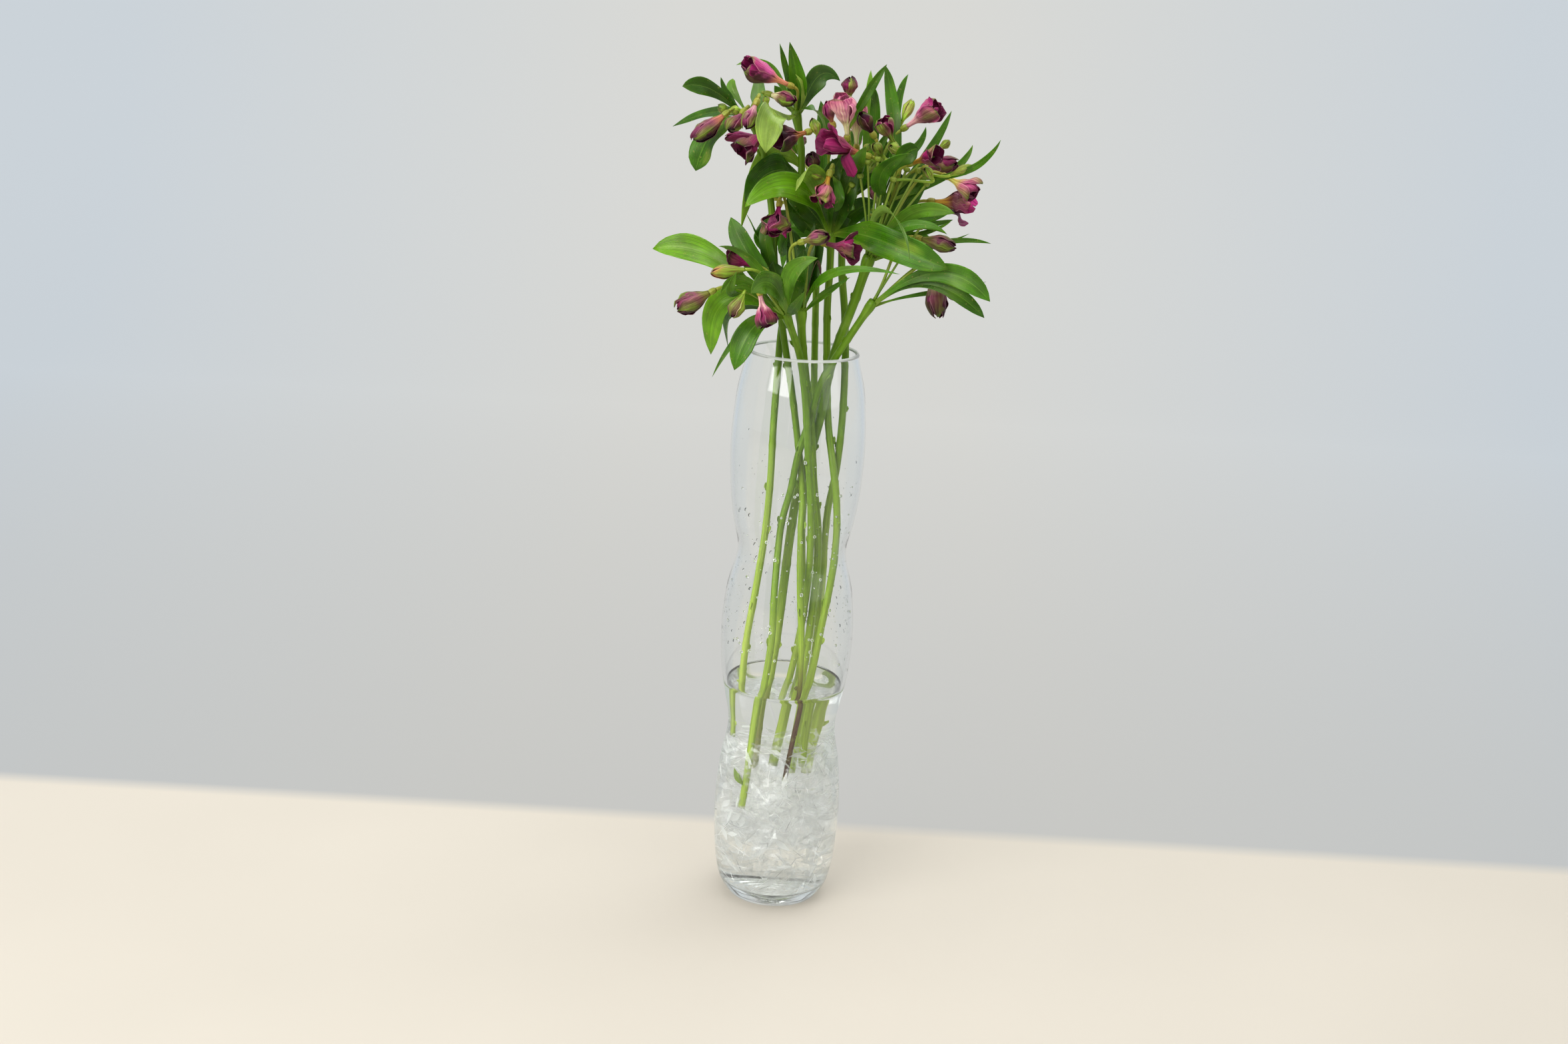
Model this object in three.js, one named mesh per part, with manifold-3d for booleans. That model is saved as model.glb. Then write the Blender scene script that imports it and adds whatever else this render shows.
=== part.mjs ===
// Cut alstroemeria (peruvian lily) stems that stand in a tall clear glass vase, with water
// and a crumple of clear film at the bottom. Millimetres, +Z up, X to the right, Y to the back.
// The origin is the middle of the vase's foot, on the surface that it stands on.
import * as THREE from 'three'
import { mergeVertices } from 'three/addons/utils/BufferGeometryUtils.js'
import Module from 'manifold-3d'

const wasm = await Module()
wasm.setup()

// Vase
const VASE_HEIGHT = 500
const FOOT_RADIUS = 37
const WALL = 3.2
const FLOOR = 14
const LATHE_SIDES = 24
// Outer radius of the three bulges and two waists, as [height, radius] from the foot to the rim
const VASE_OUTLINE = [
  [4, 43.5], [18, 50.5], [45, 54.6], [82, 56.4], [124, 53.6], [164, 47.7], [190, 52], [218, 56.7],
  [250, 58], [286, 55.2], [326, 47.2], [352, 52.6], [384, 56.6], [416, 57.8], [460, 55], [495, 47.6],
]

// Water and film
const WATER_LEVEL = 202
const FILM_TOP = 156
const FIT_GAP = 0.4
const SIDE_GAP = 1
const WAIST_REACH = 9
const RING_SIDES = 18
const RING_SHARES = [0.4, 0.75]
const WATER_LEVELS = 3
const FILM_LEVELS = 5

// Stems, and the stalks and ovaries that carry the blooms
const STEM_SIDES = 6
const STEM_STEPS = 13
const STALK_RADIUS = 1.4
const STALK_SIDES = 5
const STALK_SHARES = [0, 0.34, 0.68, 1]
const OVARY_HEIGHT = 6.5
const OVARY_BREADTH = 5.8
const SEAT_GAP = 0.3
const WHORL_RADIUS = 2.4
const WHORL_HEIGHT = 12
const WHORL_TOP = 2
const WHORL_SWELL = 1.9
const WHORL_RINGS = [[0, 0.6], [0.5, 1], [1, 0.7]]
const LEAF_DROP = 4
const ROOT_ZONE = 16
const HOLE_CLEARANCE = 0.45

// Leaves
const BLADE_THICKNESS = 1.1
const LEAF_FOLD = 0.28
const LEAF_ROOT_HALF = 1.2
const FRAME_STEPS = 50
// Breadth of a leaf at each station along it, as a share of its widest
const LEAF_STATIONS = [0, 0.2, 0.5, 0.8]
const LEAF_OUTLINES = {
  leaf: [0.14, 0.5, 1, 0.62],
  blunt: [0.12, 0.45, 0.96, 0.88],
  spoon: [0.16, 0.22, 0.62, 1],
}
const BRACT_STATIONS = [0, 0.3, 0.7]
const BRACT_OUTLINE = [0.3, 0.9, 0.85]

// Blooms: the cup that the six tepals grow from, and how each form of bloom opens
const CUP_FOOT = 2.3
const CUP_RADIUS = 3
const CUP_HEIGHT = 4
const THROAT_RADIUS = 1.9
const THROAT_HEIGHT = 3
const INNER_SHARE = 0.76
// Stations along an outer and an inner tepal, each with its share of the widest
const OUTER_STATIONS = [[0.45, 0.75], [0.8, 1]]
const INNER_STATIONS = [[0.62, 1]]
const TEPAL_CUP = 0.3
const OPENING = {
  open: (share) => share ** 1.7,
  trumpet: (share) => share ** 1.25,
  wilted: (share) => Math.sin(0.72 * Math.PI * share ** 0.75),
}
const BLOOM_SEED = 48271
const TURN_BACK = { open: 0.2, trumpet: 0.05, wilted: 0 }
// Closed blooms and buds: share of the length and of the breadth at each ring, and the laps
// of the tepals over each other round them
const CLOSED_RINGS = [[0, 0.3], [0.3, 0.8], [0.62, 1], [0.88, 0.62]]
const CLOSED_LAPS = [1.04, 0.9]
const CLOSED_TWIST = 0.5
const BUD_RINGS = [[0.4, 1], [0.8, 0.68]]
const OVARY_RINGS = [[0.5, 1], [1, 0.86]]

// How far a shoot may lean back or forward to pass its neighbours, and the room it leaves
const LEAN_STEP = 4
const LEAN_LIMIT = 60
const LEAN_DROP = 0.09
const BALL_SPACING = 3.2
const BALL_RADIUS = 1.6
const CLEAR_GAP = 0.5

const LOOKS = {
  glass: { color: 0xdfe6e4, roughness: 0.05, opacity: 0.35 },
  water: { color: 0xe3ece9, roughness: 0.05, opacity: 0.4 },
  film: { color: 0xf0f2f1, roughness: 0.2, opacity: 0.5 },
  stem: { color: 0x5f8f2c, roughness: 0.5 },
  open: { color: 0xa8418c, roughness: 0.55 },
  trumpet: { color: 0x9a3a80, roughness: 0.55 },
  wilted: { color: 0x4a1736, roughness: 0.65 },
  closed: { color: 0xb86486, roughness: 0.55 },
}

// The stems: radius, then the points passed from the whorl at the top to the cut end
const STEMS = [
  [3.1, [[-18, 15, 697], [-11, 14, 657], [-11, 10, 602], [-14, 8, 569], [-17, 6, 538], [-20, 5, 512],
    [-21, 2, 478], [-22, 0, 432], [-22, 0, 385], [-24, -2, 338], [-29, -4, 289], [-35, -6, 240],
    [-37, -8, 194], [-37, -8, 150]]],
  [3.0, [[-56, -8, 693], [-42, 2, 660], [-33, -2, 614], [-28, -6, 570], [-22, -7, 537],
    [-17, -5, 509], [-9, 0, 469], [-1, 4, 423], [6, 5, 376], [7, -3, 341], [9, -12, 295],
    [13, -18, 247], [14, -24, 200], [10, -28, 161], [5, -30, 120]]],
  [3.1, [[-17, -45, 538], [-10, -34, 520], [-2, -26, 496], [4, -20, 461], [9, -16, 414], [14, -11, 367],
    [16, -6, 325], [15, 2, 280], [10, 6, 234], [3, 8, 189], [-4, 8, 120]]],
  [3.6, [[-4, -30, 540], [-2, -20, 515], [2, -9, 485], [10, 0, 435], [15, 1, 387], [22, 5, 338],
    [23, 8, 301], [21, 8, 258], [17, 6, 214], [12, 0, 178], [8, -8, 120]]],
  [3.2, [[17, 5, 601], [18, 4, 571], [18, 4, 533], [21, 9, 482], [25, 11, 436], [31, 3, 401],
    [36, -2, 371], [38, -3, 335], [35, -4, 293], [30, -6, 257], [25, -10, 221], [19, -14, 184],
    [17, -18, 130]]],
  [4.0, [[50, -20, 585], [41, -17, 550], [30, -14, 514], [23, -9, 486], [18, 3, 444], [11, 14, 407],
    [2, 16, 370], [-2, 16, 334], [-5, 13, 292], [-9, 10, 237], [-14, 6, 188], [-18, -2, 120]]],
  [3.2, [[34, 25, 633], [28, 20, 603], [28, 16, 570], [33, 11, 531], [36, 8, 492], [37, 9, 445],
    [35, 12, 397], [30, 14, 361], [29, 16, 336], [29, 18, 298], [28, 20, 254], [25, 22, 209],
    [19, 22, 167], [16, 20, 110]]],
  [3.1, [[55, -40, 551], [40, -34, 524], [27, -28, 500], [16, -22, 476], [9, -11, 443], [1, -5, 411],
    [-4, 4, 376], [-10, 4, 348], [-12, 0, 320], [-13, -8, 285], [-13, -14, 244], [-17, -20, 203],
    [-22, -25, 161], [-25, -28, 121], [-28, -30, 92]]],
  [3.0, [[6, 46, 620], [7, 38, 576], [8, 33, 537], [10, 30, 486], [12, 26, 440], [10, 28, 392],
    [8, 30, 343], [11, 30, 293], [13, 31, 243], [13, 33, 191], [8, 34, 125]]],
]

// The blooms: stem, form, base, tip, breadth, turn in degrees
const BLOOMS = [
  [1, 'trumpet', [-26, -5, 718], [-61, -22, 732], 24, 0],
  [1, 'closed', [-38, -8, 709], [-17, -18, 705], 13, 0],
  [2, 'closed', [-76, -25, 691], [-102, -36, 668], 17, 40],
  [2, 'closed', [-61, -30, 693], [-71, -38, 679], 14, 10],
  [2, 'closed', [-50, -35, 701], [-57, -44, 682], 13, 70],
  [2, 'open', [-40, -26, 683], [-60, -42, 664], 26, 20],
  [2, 'closed', [-49, 12, 674], [-77, 8, 671], 9, 0],
  [5, 'trumpet', [-9, 5, 679], [-33, -12, 672], 27, 30],
  [7, 'closed', [25, 10, 710], [25, 8, 728], 14, 15],
  [7, 'closed', [12, 0, 690], [6, -6, 707], 11, 50],
  [7, 'trumpet', [25, -12, 681], [21, -20, 706], 22, 0],
  [7, 'trumpet', [34, 6, 673], [32, 2, 702], 19, 40],
  [7, 'closed', [45, -14, 685], [34, -18, 701], 14, 80],
  [6, 'trumpet', [63, -14, 677], [51, -22, 697], 19, 10],
  [7, 'open', [40, -26, 667], [6, -44, 677], 28, 0],
  [6, 'trumpet', [74, 0, 690], [101, -14, 712], 27, 20],
  [6, 'open', [80, -26, 663], [100, -42, 673], 26, 50],
  [6, 'closed', [95, 8, 657], [119, -2, 663], 15, 0],
  [6, 'trumpet', [110, -10, 651], [135, -22, 640], 21, 30],
  [6, 'wilted', [102, 12, 629], [137, 8, 629], 18, 0],
  [5, 'closed', [2, -8, 651], [-5, -16, 666], 13, 20],
  [5, 'wilted', [12, -30, 648], [7, -40, 626], 18, 10],
  [4, 'wilted', [-27, -26, 621], [-29, -38, 598], 24, 35],
  [4, 'closed', [-4, -52, 598], [17, -62, 606], 15, 0],
  [4, 'open', [14, -46, 596], [40, -64, 594], 26, 15],
  [3, 'open', [-45, -45, 575], [-70, -44, 580], 24, 40],
  [3, 'closed', [-79, -62, 553], [-108, -72, 537], 20, 20],
  [3, 'trumpet', [-37, -80, 556], [-30, -88, 532], 22, 0],
  [8, 'closed', [91, -34, 603], [120, -44, 599], 14, 10],
  [8, 'closed', [102, -48, 575], [107, -52, 546], 15, 30],
  [8, 'closed', [109, -22, 573], [124, -26, 558], 12, 60],
  [9, 'open', [72, 62, 622], [79, 80, 639], 24, 0],
  [9, 'closed', [57, 54, 619], [52, 68, 637], 13, 0],
  [9, 'open', [-11, 76, 653], [-21, 96, 668], 25, 30],
  [9, 'trumpet', [31, 82, 655], [32, 96, 677], 24, 10],
  [9, 'closed', [-35, 74, 620], [-54, 88, 634], 15, 0],
]

// The green buds: the bloom whose stalk bears it, how far up that stalk, base, tip, breadth
const BUDS = [
  [16, 0.7, [70, 10, 693], [77, 8, 711], 9],
  [8, 0.6, [2, -16, 679], [-4, -20, 693], 9],
  [22, 0.7, [10, -24, 646], [-4, -32, 651], 8],
  [14, 0.7, [55, -6, 666], [47, -12, 676], 9],
  [14, 0.8, [69, -10, 669], [60, -18, 675], 9],
  [15, 0.7, [39, -14, 668], [44, -20, 675], 6],
  [18, 0.7, [102, 16, 672], [111, 14, 679], 7],
  [19, 0.75, [111, 4, 652], [128, 0, 661], 8],
  [17, 0.7, [97, -18, 650], [89, -26, 660], 8],
  [3, 0.6, [-72, -6, 693], [-81, -10, 698], 8],
  [4, 0.6, [-62, -18, 696], [-70, -24, 696], 8],
  [2, 0.7, [-41, -12, 701], [-43, -14, 708], 6],
  [29, 0.75, [96, -28, 595], [87, -34, 599], 8],
  [26, 0.55, [-51, -64, 574], [-78, -74, 571], 11],
  [27, 0.5, [-51, -74, 555], [-59, -84, 538], 13],
]

// The leaves: stem, height of the root (0 for the whorl), two guide points, tip, breadth,
// roll in degrees and outline
const LEAVES = [
  [2, 0, [-70, -16, 699], [-86, -24, 720], [-109, -34, 713], 14, 0, 'spoon'],
  [2, 0, [-70, -8, 698], [-77, -4, 708], [-80, 0, 720], 8, 20, 'leaf'],
  [2, 0, [-64, 2, 703], [-75, 8, 712], [-71, 12, 719], 9, -20, 'spoon'],
  [2, 0, [-72, -6, 698], [-92, 4, 694], [-121, 6, 679], 11, 10, 'leaf'],
  [2, 0, [-73, -26, 691], [-90, -34, 683], [-97, -34, 647], 21, 0, 'blunt'],
  [2, 0, [-47, -22, 700], [-50, -24, 713], [-51, -20, 731], 13, 0, 'leaf'],
  [2, 550, [-31, -18, 571], [-37, -24, 588], [-39, -20, 606], 12, 0, 'blunt'],
  [2, 575, [-43, 4, 590], [-49, 10, 600], [-54, 12, 609], 5, 60, 'leaf'],
  [1, 0, [-31, 20, 723], [-45, 16, 741], [-69, 14, 730], 9, 10, 'leaf'],
  [1, 0, [-22, 20, 712], [-28, 20, 726], [-34, 18, 748], 8, 20, 'leaf'],
  [1, 0, [-14, 12, 711], [-19, 6, 727], [-26, 2, 751], 14, 0, 'leaf'],
  [1, 0, [-8, 8, 716], [-2, 0, 741], [17, -4, 725], 18, 20, 'leaf'],
  [1, 0, [-32, -38, 684], [-38, -68, 718], [-39, -64, 667], 20, 0, 'leaf'],
  [1, 0, [-10, -16, 707], [6, -26, 701], [7, -28, 682], 12, -20, 'leaf'],
  [1, 660, [-17, 30, 677], [-20, 34, 682], [-15, 34, 659], 12, 20, 'blunt'],
  [1, 0, [-27, 22, 704], [-33, 24, 709], [-37, 24, 715], 10, 0, 'leaf'],
  [1, 650, [-25, 2, 670], [-49, -10, 670], [-58, -18, 600], 20, 60, 'leaf'],
  [5, 0, [10, -14, 636], [-7, -48, 675], [-14, -60, 638], 19, 0, 'blunt'],
  [5, 0, [6, -24, 637], [-26, -48, 656], [-54, -60, 623], 22, 10, 'leaf'],
  [5, 0, [39, -36, 611], [68, -84, 600], [111, -104, 588], 25, 0, 'blunt'],
  [5, 0, [3, 10, 611], [-5, 16, 618], [-21, 18, 629], 22, 0, 'leaf'],
  [3, 0, [-50, -54, 554], [-79, -60, 600], [-130, -68, 584], 22, 0, 'spoon'],
  [3, 0, [-34, -50, 565], [-55, -54, 583], [-66, -48, 611], 18, 0, 'blunt'],
  [3, 0, [-22, -66, 563], [-34, -84, 578], [-44, -94, 560], 19, 10, 'blunt'],
  [3, 0, [-19, -58, 564], [-17, -66, 582], [7, -74, 588], 17, -10, 'leaf'],
  [3, 0, [-12, -64, 544], [-8, -72, 547], [-2, -74, 561], 9, 0, 'leaf'],
  [3, 0, [-52, -64, 560], [-81, -88, 560], [-76, -92, 504], 20, 0, 'leaf'],
  [3, 0, [-54, -48, 547], [-69, -60, 543], [-64, -62, 506], 12, 30, 'blunt'],
  [3, 0, [-32, -66, 538], [-47, -86, 537], [-55, -92, 495], 18, 0, 'leaf'],
  [3, 0, [-38, -40, 535], [-59, -42, 518], [-74, -46, 481], 6, 0, 'leaf'],
  [3, 0, [-34, -34, 560], [-53, -30, 578], [-74, -30, 586], 7, 20, 'leaf'],
  [4, 0, [-2, -30, 564], [0, -30, 586], [3, -30, 611], 10, 0, 'leaf'],
  [4, 0, [-12, -24, 562], [-16, -20, 578], [-18, -18, 602], 9, 20, 'leaf'],
  [4, 0, [1, -52, 564], [16, -70, 589], [72, -86, 581], 8, 0, 'leaf'],
  [4, 0, [6, -44, 549], [18, -54, 560], [34, -60, 572], 6, 10, 'leaf'],
  [7, 0, [32, 6, 649], [33, -8, 661], [40, -10, 672], 14, 0, 'leaf'],
  [7, 0, [22, 10, 642], [18, 4, 651], [14, 2, 660], 12, 0, 'leaf'],
  [7, 0, [51, 24, 676], [42, 26, 708], [43, 26, 734], 12, 0, 'leaf'],
  [6, 0, [58, -20, 647], [67, -30, 673], [82, -34, 675], 15, 0, 'blunt'],
  [6, 0, [69, -16, 615], [82, -28, 635], [113, -36, 626], 13, 0, 'blunt'],
  [6, 0, [46, -10, 644], [72, -100, 634], [78, -114, 596], 9, -30, 'leaf'],
  [6, 0, [60, -44, 610], [87, -54, 627], [109, -60, 611], 9, 0, 'leaf'],
  [8, 0, [74, -52, 571], [111, -66, 600], [146, -78, 562], 18, 0, 'leaf'],
  [8, 0, [84, -56, 579], [113, -66, 576], [143, -74, 548], 12, 0, 'leaf'],
  [9, 0, [21, 54, 648], [37, 68, 676], [39, 74, 693], 14, 0, 'leaf'],
  [9, 0, [39, 74, 636], [61, 88, 659], [80, 92, 648], 16, 20, 'leaf'],
  [9, 0, [-18, 64, 628], [-48, 80, 636], [-60, 88, 611], 16, -20, 'leaf'],
  [9, 0, [9, 64, 658], [6, 74, 685], [2, 76, 702], 14, 0, 'leaf'],
  [9, 0, [34, 80, 623], [60, 100, 605], [63, 102, 574], 18, 0, 'leaf'],
  [9, 0, [-11, 76, 610], [-23, 102, 588], [-23, 104, 552], 18, 0, 'leaf'],
  [9, 590, [10, 58, 600], [16, 76, 604], [22, 82, 617], 14, 0, 'leaf'],
]

// The bracts: the bloom whose stalk bears it, how far up that stalk, guide point, tip, breadth
const BRACTS = [
  [22, 0.6, [26, -42, 632], [19, -48, 622], 9],
  [27, 0.55, [-68, -92, 552], [-56, -98, 577], 8],
  [9, 0.7, [40, 6, 716], [54, 4, 738], 8],
  [13, 0.6, [48, 10, 702], [45, 6, 720], 9],
  [14, 0.65, [63, 12, 709], [53, 10, 737], 12],
  [14, 0.5, [60, 32, 708], [73, 30, 730], 8],
  [14, 0.4, [39, -46, 658], [75, -62, 673], 15],
  [18, 0.6, [98, 16, 668], [111, 24, 703], 8],
  [16, 0.6, [90, 32, 666], [91, 34, 688], 7],
  [19, 0.7, [136, 2, 651], [146, 0, 682], 6],
  [18, 0.5, [125, 14, 652], [130, 14, 677], 7],
  [20, 0.4, [104, 10, 609], [118, 10, 615], 5],
  [29, 0.5, [116, -16, 607], [149, -14, 600], 5],
]

const UP = new THREE.Vector3(0, 0, 1)
const FRONT = new THREE.Vector3(0, -1, 0.25).normalize()
const vec = (p) => new THREE.Vector3(...p)
const degrees = (angle) => angle * Math.PI / 180

// Even draws from 0 to 1, the same on every run
function makeDraw(seed) {
  let state = seed
  return () => {
    state = (state * 16807) % 2147483647
    return state / 2147483647
  }
}

// Solids

function signedVolume(points, faces) {
  const a = new THREE.Vector3()
  const b = new THREE.Vector3()
  const c = new THREE.Vector3()
  let volume = 0
  for (let i = 0; i < faces.length; i += 3) {
    a.fromBufferAttribute(points, faces[i])
    b.fromBufferAttribute(points, faces[i + 1])
    c.fromBufferAttribute(points, faces[i + 2])
    volume += a.dot(b.cross(c)) / 6
  }
  return volume
}

function flip(faces) {
  for (let i = 0; i < faces.length; i += 3) {
    const second = faces[i + 1]
    faces[i + 1] = faces[i + 2]
    faces[i + 2] = second
  }
}

// A closed geometry as a solid that faces outwards
function toSolid(geometry) {
  geometry.deleteAttribute('normal')
  geometry.deleteAttribute('uv')
  const merged = mergeVertices(geometry, 1e-3)
  const points = merged.attributes.position
  const faces = new Uint32Array(merged.index.array)
  if (signedVolume(points, faces) < 0) flip(faces)
  return new wasm.Manifold(new wasm.Mesh({
    numProp: 3,
    vertProperties: new Float32Array(points.array),
    triVerts: faces,
  }))
}

function fromPoints(points, faces) {
  const geometry = new THREE.BufferGeometry()
  const numbers = points.flatMap((p) => [p.x, p.y, p.z])
  geometry.setAttribute('position', new THREE.Float32BufferAttribute(numbers, 3))
  geometry.setIndex(faces)
  return toSolid(geometry)
}

// Joins solids into one body and drops loose scraps
function join(solids) {
  let whole = solids[0]
  for (const solid of solids.slice(1)) whole = whole.add(solid)
  const bodies = whole.decompose()
  return bodies.reduce((a, b) => (a.volume() > b.volume() ? a : b))
}

function toMesh(solid, name, look) {
  const mesh = solid.getMesh()
  const geometry = new THREE.BufferGeometry()
  geometry.setAttribute('position', new THREE.BufferAttribute(new Float32Array(mesh.vertProperties), 3))
  geometry.setIndex(new THREE.BufferAttribute(new Uint32Array(mesh.triVerts), 1))
  geometry.computeVertexNormals()
  const transparent = look.opacity !== undefined
  const material = new THREE.MeshStandardMaterial({ ...look, metalness: 0, transparent })
  const result = new THREE.Mesh(geometry, material)
  result.name = name
  return result
}

// A solid turned about the Z axis from [radius, height] points that start and end on the axis
function turned(profile, sides) {
  const points = profile.map(([radius, height]) => new THREE.Vector2(radius, height))
  const geometry = new THREE.LatheGeometry(points, sides)
  geometry.rotateX(Math.PI / 2)
  return toSolid(geometry)
}

// A rod of even radius along a curve
function rod(curve, radius, sides, steps) {
  const outline = new THREE.Shape()
  for (let k = 0; k < sides; k += 1) {
    const angle = 2 * Math.PI * k / sides
    const x = radius * Math.cos(angle)
    const y = radius * Math.sin(angle)
    if (k === 0) outline.moveTo(x, y)
    else outline.lineTo(x, y)
  }
  outline.closePath()
  return toSolid(new THREE.ExtrudeGeometry(outline, { steps, bevelEnabled: false, extrudePath: curve }))
}

// The four corners of a blade at a station: left edge, inner middle, right edge, outer middle
function section({ at, side, up, half, rise, thickness }) {
  return [
    at.clone().addScaledVector(side, -half).addScaledVector(up, rise),
    at.clone().addScaledVector(up, thickness / 2),
    at.clone().addScaledVector(side, half).addScaledVector(up, rise),
    at.clone().addScaledVector(up, -thickness / 2),
  ]
}

// The faces of a blade between two sections, split alike on both of its sides
function bladeFaces(near, far) {
  const faces = []
  for (let k = 0; k < 4; k += 1) {
    const next = (k + 1) % 4
    if (k % 2 === 0) faces.push(near[k], near[next], far[next], near[k], far[next], far[k])
    else faces.push(near[k], near[next], far[k], near[next], far[next], far[k])
  }
  return faces
}

function tipFaces(near, tip) {
  return [0, 1, 2, 3].flatMap((k) => [near[k], near[(k + 1) % 4], tip])
}

// A blade from its stations and its tip point
function blade(stations, tip) {
  const points = stations.flatMap(section)
  points.push(tip)
  const corners = stations.map((_, i) => [4 * i, 4 * i + 1, 4 * i + 2, 4 * i + 3])
  const faces = [0, 2, 1, 0, 3, 2]
  for (let i = 1; i < stations.length; i += 1) faces.push(...bladeFaces(corners[i - 1], corners[i]))
  faces.push(...tipFaces(corners[corners.length - 1], points.length - 1))
  return fromPoints(points, faces)
}

// A body of rings, each with its middle, two directions across and a radius. The laps set the
// ridges that go round it, and it ends in a tip point or is cut off flat.
function ringBody(rings, laps, lobes, tip) {
  const sides = laps.length * lobes
  const points = []
  const faces = []
  rings.forEach(({ at, side, up, radius, turn = 0 }) => {
    for (let k = 0; k < sides; k += 1) {
      const angle = 2 * Math.PI * k / sides + turn
      const reach = radius * laps[k % laps.length]
      const along = side.clone().multiplyScalar(reach * Math.cos(angle))
      points.push(at.clone().add(along).addScaledVector(up, reach * Math.sin(angle)))
    }
  })
  const last = sides * (rings.length - 1)
  for (let near = 0; near < last; near += sides) {
    for (let k = 0; k < sides; k += 1) {
      const next = (k + 1) % sides
      faces.push(near + k, near + next, near + sides + next)
      faces.push(near + k, near + sides + next, near + sides + k)
    }
  }
  for (let k = 1; k < sides - 1; k += 1) faces.push(0, k + 1, k)
  if (tip) {
    points.push(tip)
    for (let k = 0; k < sides; k += 1) faces.push(last + k, last + (k + 1) % sides, points.length - 1)
  } else {
    for (let k = 1; k < sides - 1; k += 1) faces.push(last, last + k, last + k + 1)
  }
  return fromPoints(points, faces)
}

// Rings about the line from base to tip, each at a share of the length and of the breadth
function ringsAlong(base, tip, breadth, shares, turn, twist) {
  const turnTo = new THREE.Quaternion().setFromUnitVectors(UP, tip.clone().sub(base).normalize())
  const side = new THREE.Vector3(1, 0, 0).applyQuaternion(turnTo)
  const up = new THREE.Vector3(0, 1, 0).applyQuaternion(turnTo)
  return shares.map(([share, swell]) => (
    { at: base.clone().lerp(tip, share), side, up, radius: swell * breadth / 2, turn: turn + twist * share }))
}

// Room: what is placed is kept as balls, so that a later shoot can lean clear of it

const placed = []

function ballsAlong(curve, radius) {
  const count = Math.max(2, Math.ceil(curve.getLength() / 3))
  return curve.getSpacedPoints(count).map((p) => [p.x, p.y, p.z, radius])
}

// Balls over a blade, whose point at a share of its length and across it is given
function ballsOver(pointAt, length, from, half) {
  const balls = []
  const along = Math.ceil(length / BALL_SPACING)
  const across = Math.max(1, Math.round(half / BALL_SPACING))
  for (let i = 0; i <= along; i += 1) {
    const share = from + (1 - from) * i / along
    for (let j = -across; j <= across; j += 1) {
      const p = pointAt(share, j / across)
      balls.push([p.x, p.y, p.z, BALL_RADIUS])
    }
  }
  return balls
}

function reachOf(balls) {
  const box = [Infinity, Infinity, Infinity, -Infinity, -Infinity, -Infinity]
  for (const ball of balls) {
    for (let k = 0; k < 3; k += 1) {
      box[k] = Math.min(box[k], ball[k] - ball[3] - CLEAR_GAP)
      box[k + 3] = Math.max(box[k + 3], ball[k] + ball[3])
    }
  }
  return box
}

function boxesMeet(a, b) {
  return [0, 1, 2].every((k) => a[k] <= b[k + 3] && b[k] <= a[k + 3])
}

function ballsMeet(a, b) {
  for (const p of a) {
    for (const q of b) {
      const room = p[3] + q[3] + CLEAR_GAP
      const dx = p[0] - q[0]
      const dy = p[1] - q[1]
      const dz = p[2] - q[2]
      if (dx * dx + dy * dy + dz * dz < room * room) return true
    }
  }
  return false
}

// Whether a part is clear of other stems and blooms, and of its own stem too where `apart` asks
function isClear({ owner, balls, free = [] }, apart) {
  const box = reachOf(balls)
  const against = (other) => (other.owner !== owner ? balls : (apart ? free : []))
  return !placed.some((other) => boxesMeet(box, other.box) && ballsMeet(against(other), other.balls))
}

function place({ owner, balls }) {
  placed.push({ owner, balls, box: reachOf(balls) })
}

// Leans a shoot forward and back, a little more each time, until all its parts are clear
function leanClear(shootAt, label) {
  for (const apart of [true, false]) {
    for (let lean = 0; lean <= LEAN_LIMIT; lean += LEAN_STEP) {
      for (const way of [-lean, lean]) {
        const parts = shootAt(way)
        if (parts.every((part) => isClear(part, apart))) {
          parts.forEach(place)
          return parts
        }
      }
    }
  }
  throw new Error(`no room for ${label}`)
}

function leaned(p, lean) {
  return new THREE.Vector3(p[0], p[1] + lean, p[2] - LEAN_DROP * lean)
}

// Vase, water and film

function innerRadius(height) {
  const outline = VASE_OUTLINE
  const above = outline.findIndex(([level]) => level >= height)
  if (above === 0) return outline[0][1] - WALL
  if (above < 0) return outline[outline.length - 1][1] - WALL
  const [low, below] = outline[above - 1]
  const [high, beyond] = outline[above]
  return below + (beyond - below) * (height - low) / (high - low) - WALL
}

function vase() {
  const profile = [[0, 0], [FOOT_RADIUS, 0]]
  VASE_OUTLINE.forEach(([height, radius]) => profile.push([radius, height]))
  const mouth = VASE_OUTLINE[VASE_OUTLINE.length - 1][1]
  profile.push([mouth - 0.5 * WALL, VASE_HEIGHT])
  const inside = VASE_OUTLINE.filter(([height]) => height > FLOOR + 4)
  inside.reverse().forEach(([height, radius]) => profile.push([radius - WALL, height]))
  profile.push([innerRadius(FLOOR) - 4, FLOOR], [0, FLOOR])
  return turned(profile, LATHE_SIDES)
}

// The narrowest that the inside gets near a height
function clearRadius(height) {
  return Math.min(...[-WAIST_REACH, 0, WAIST_REACH].map((step) => innerRadius(height + step))) - SIDE_GAP
}

function creasedTop(x, y) {
  return FILM_TOP + 0.16 * x + 4 * Math.sin(x / 9 + y / 14) + 3 * Math.cos(y / 8 - x / 17)
}

function crease(angle, height) {
  return Math.max(0, 1.5 + 1.5 * Math.sin(5 * angle + height / 13) + Math.sin(9 * angle - height / 8))
}

function ringOf(pointAt) {
  return Array.from({ length: RING_SIDES }, (_, k) => {
    const angle = 2 * Math.PI * k / RING_SIDES
    const { radius, height } = pointAt(angle)
    return new THREE.Vector3(radius * Math.cos(angle), radius * Math.sin(angle), height)
  })
}

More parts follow.
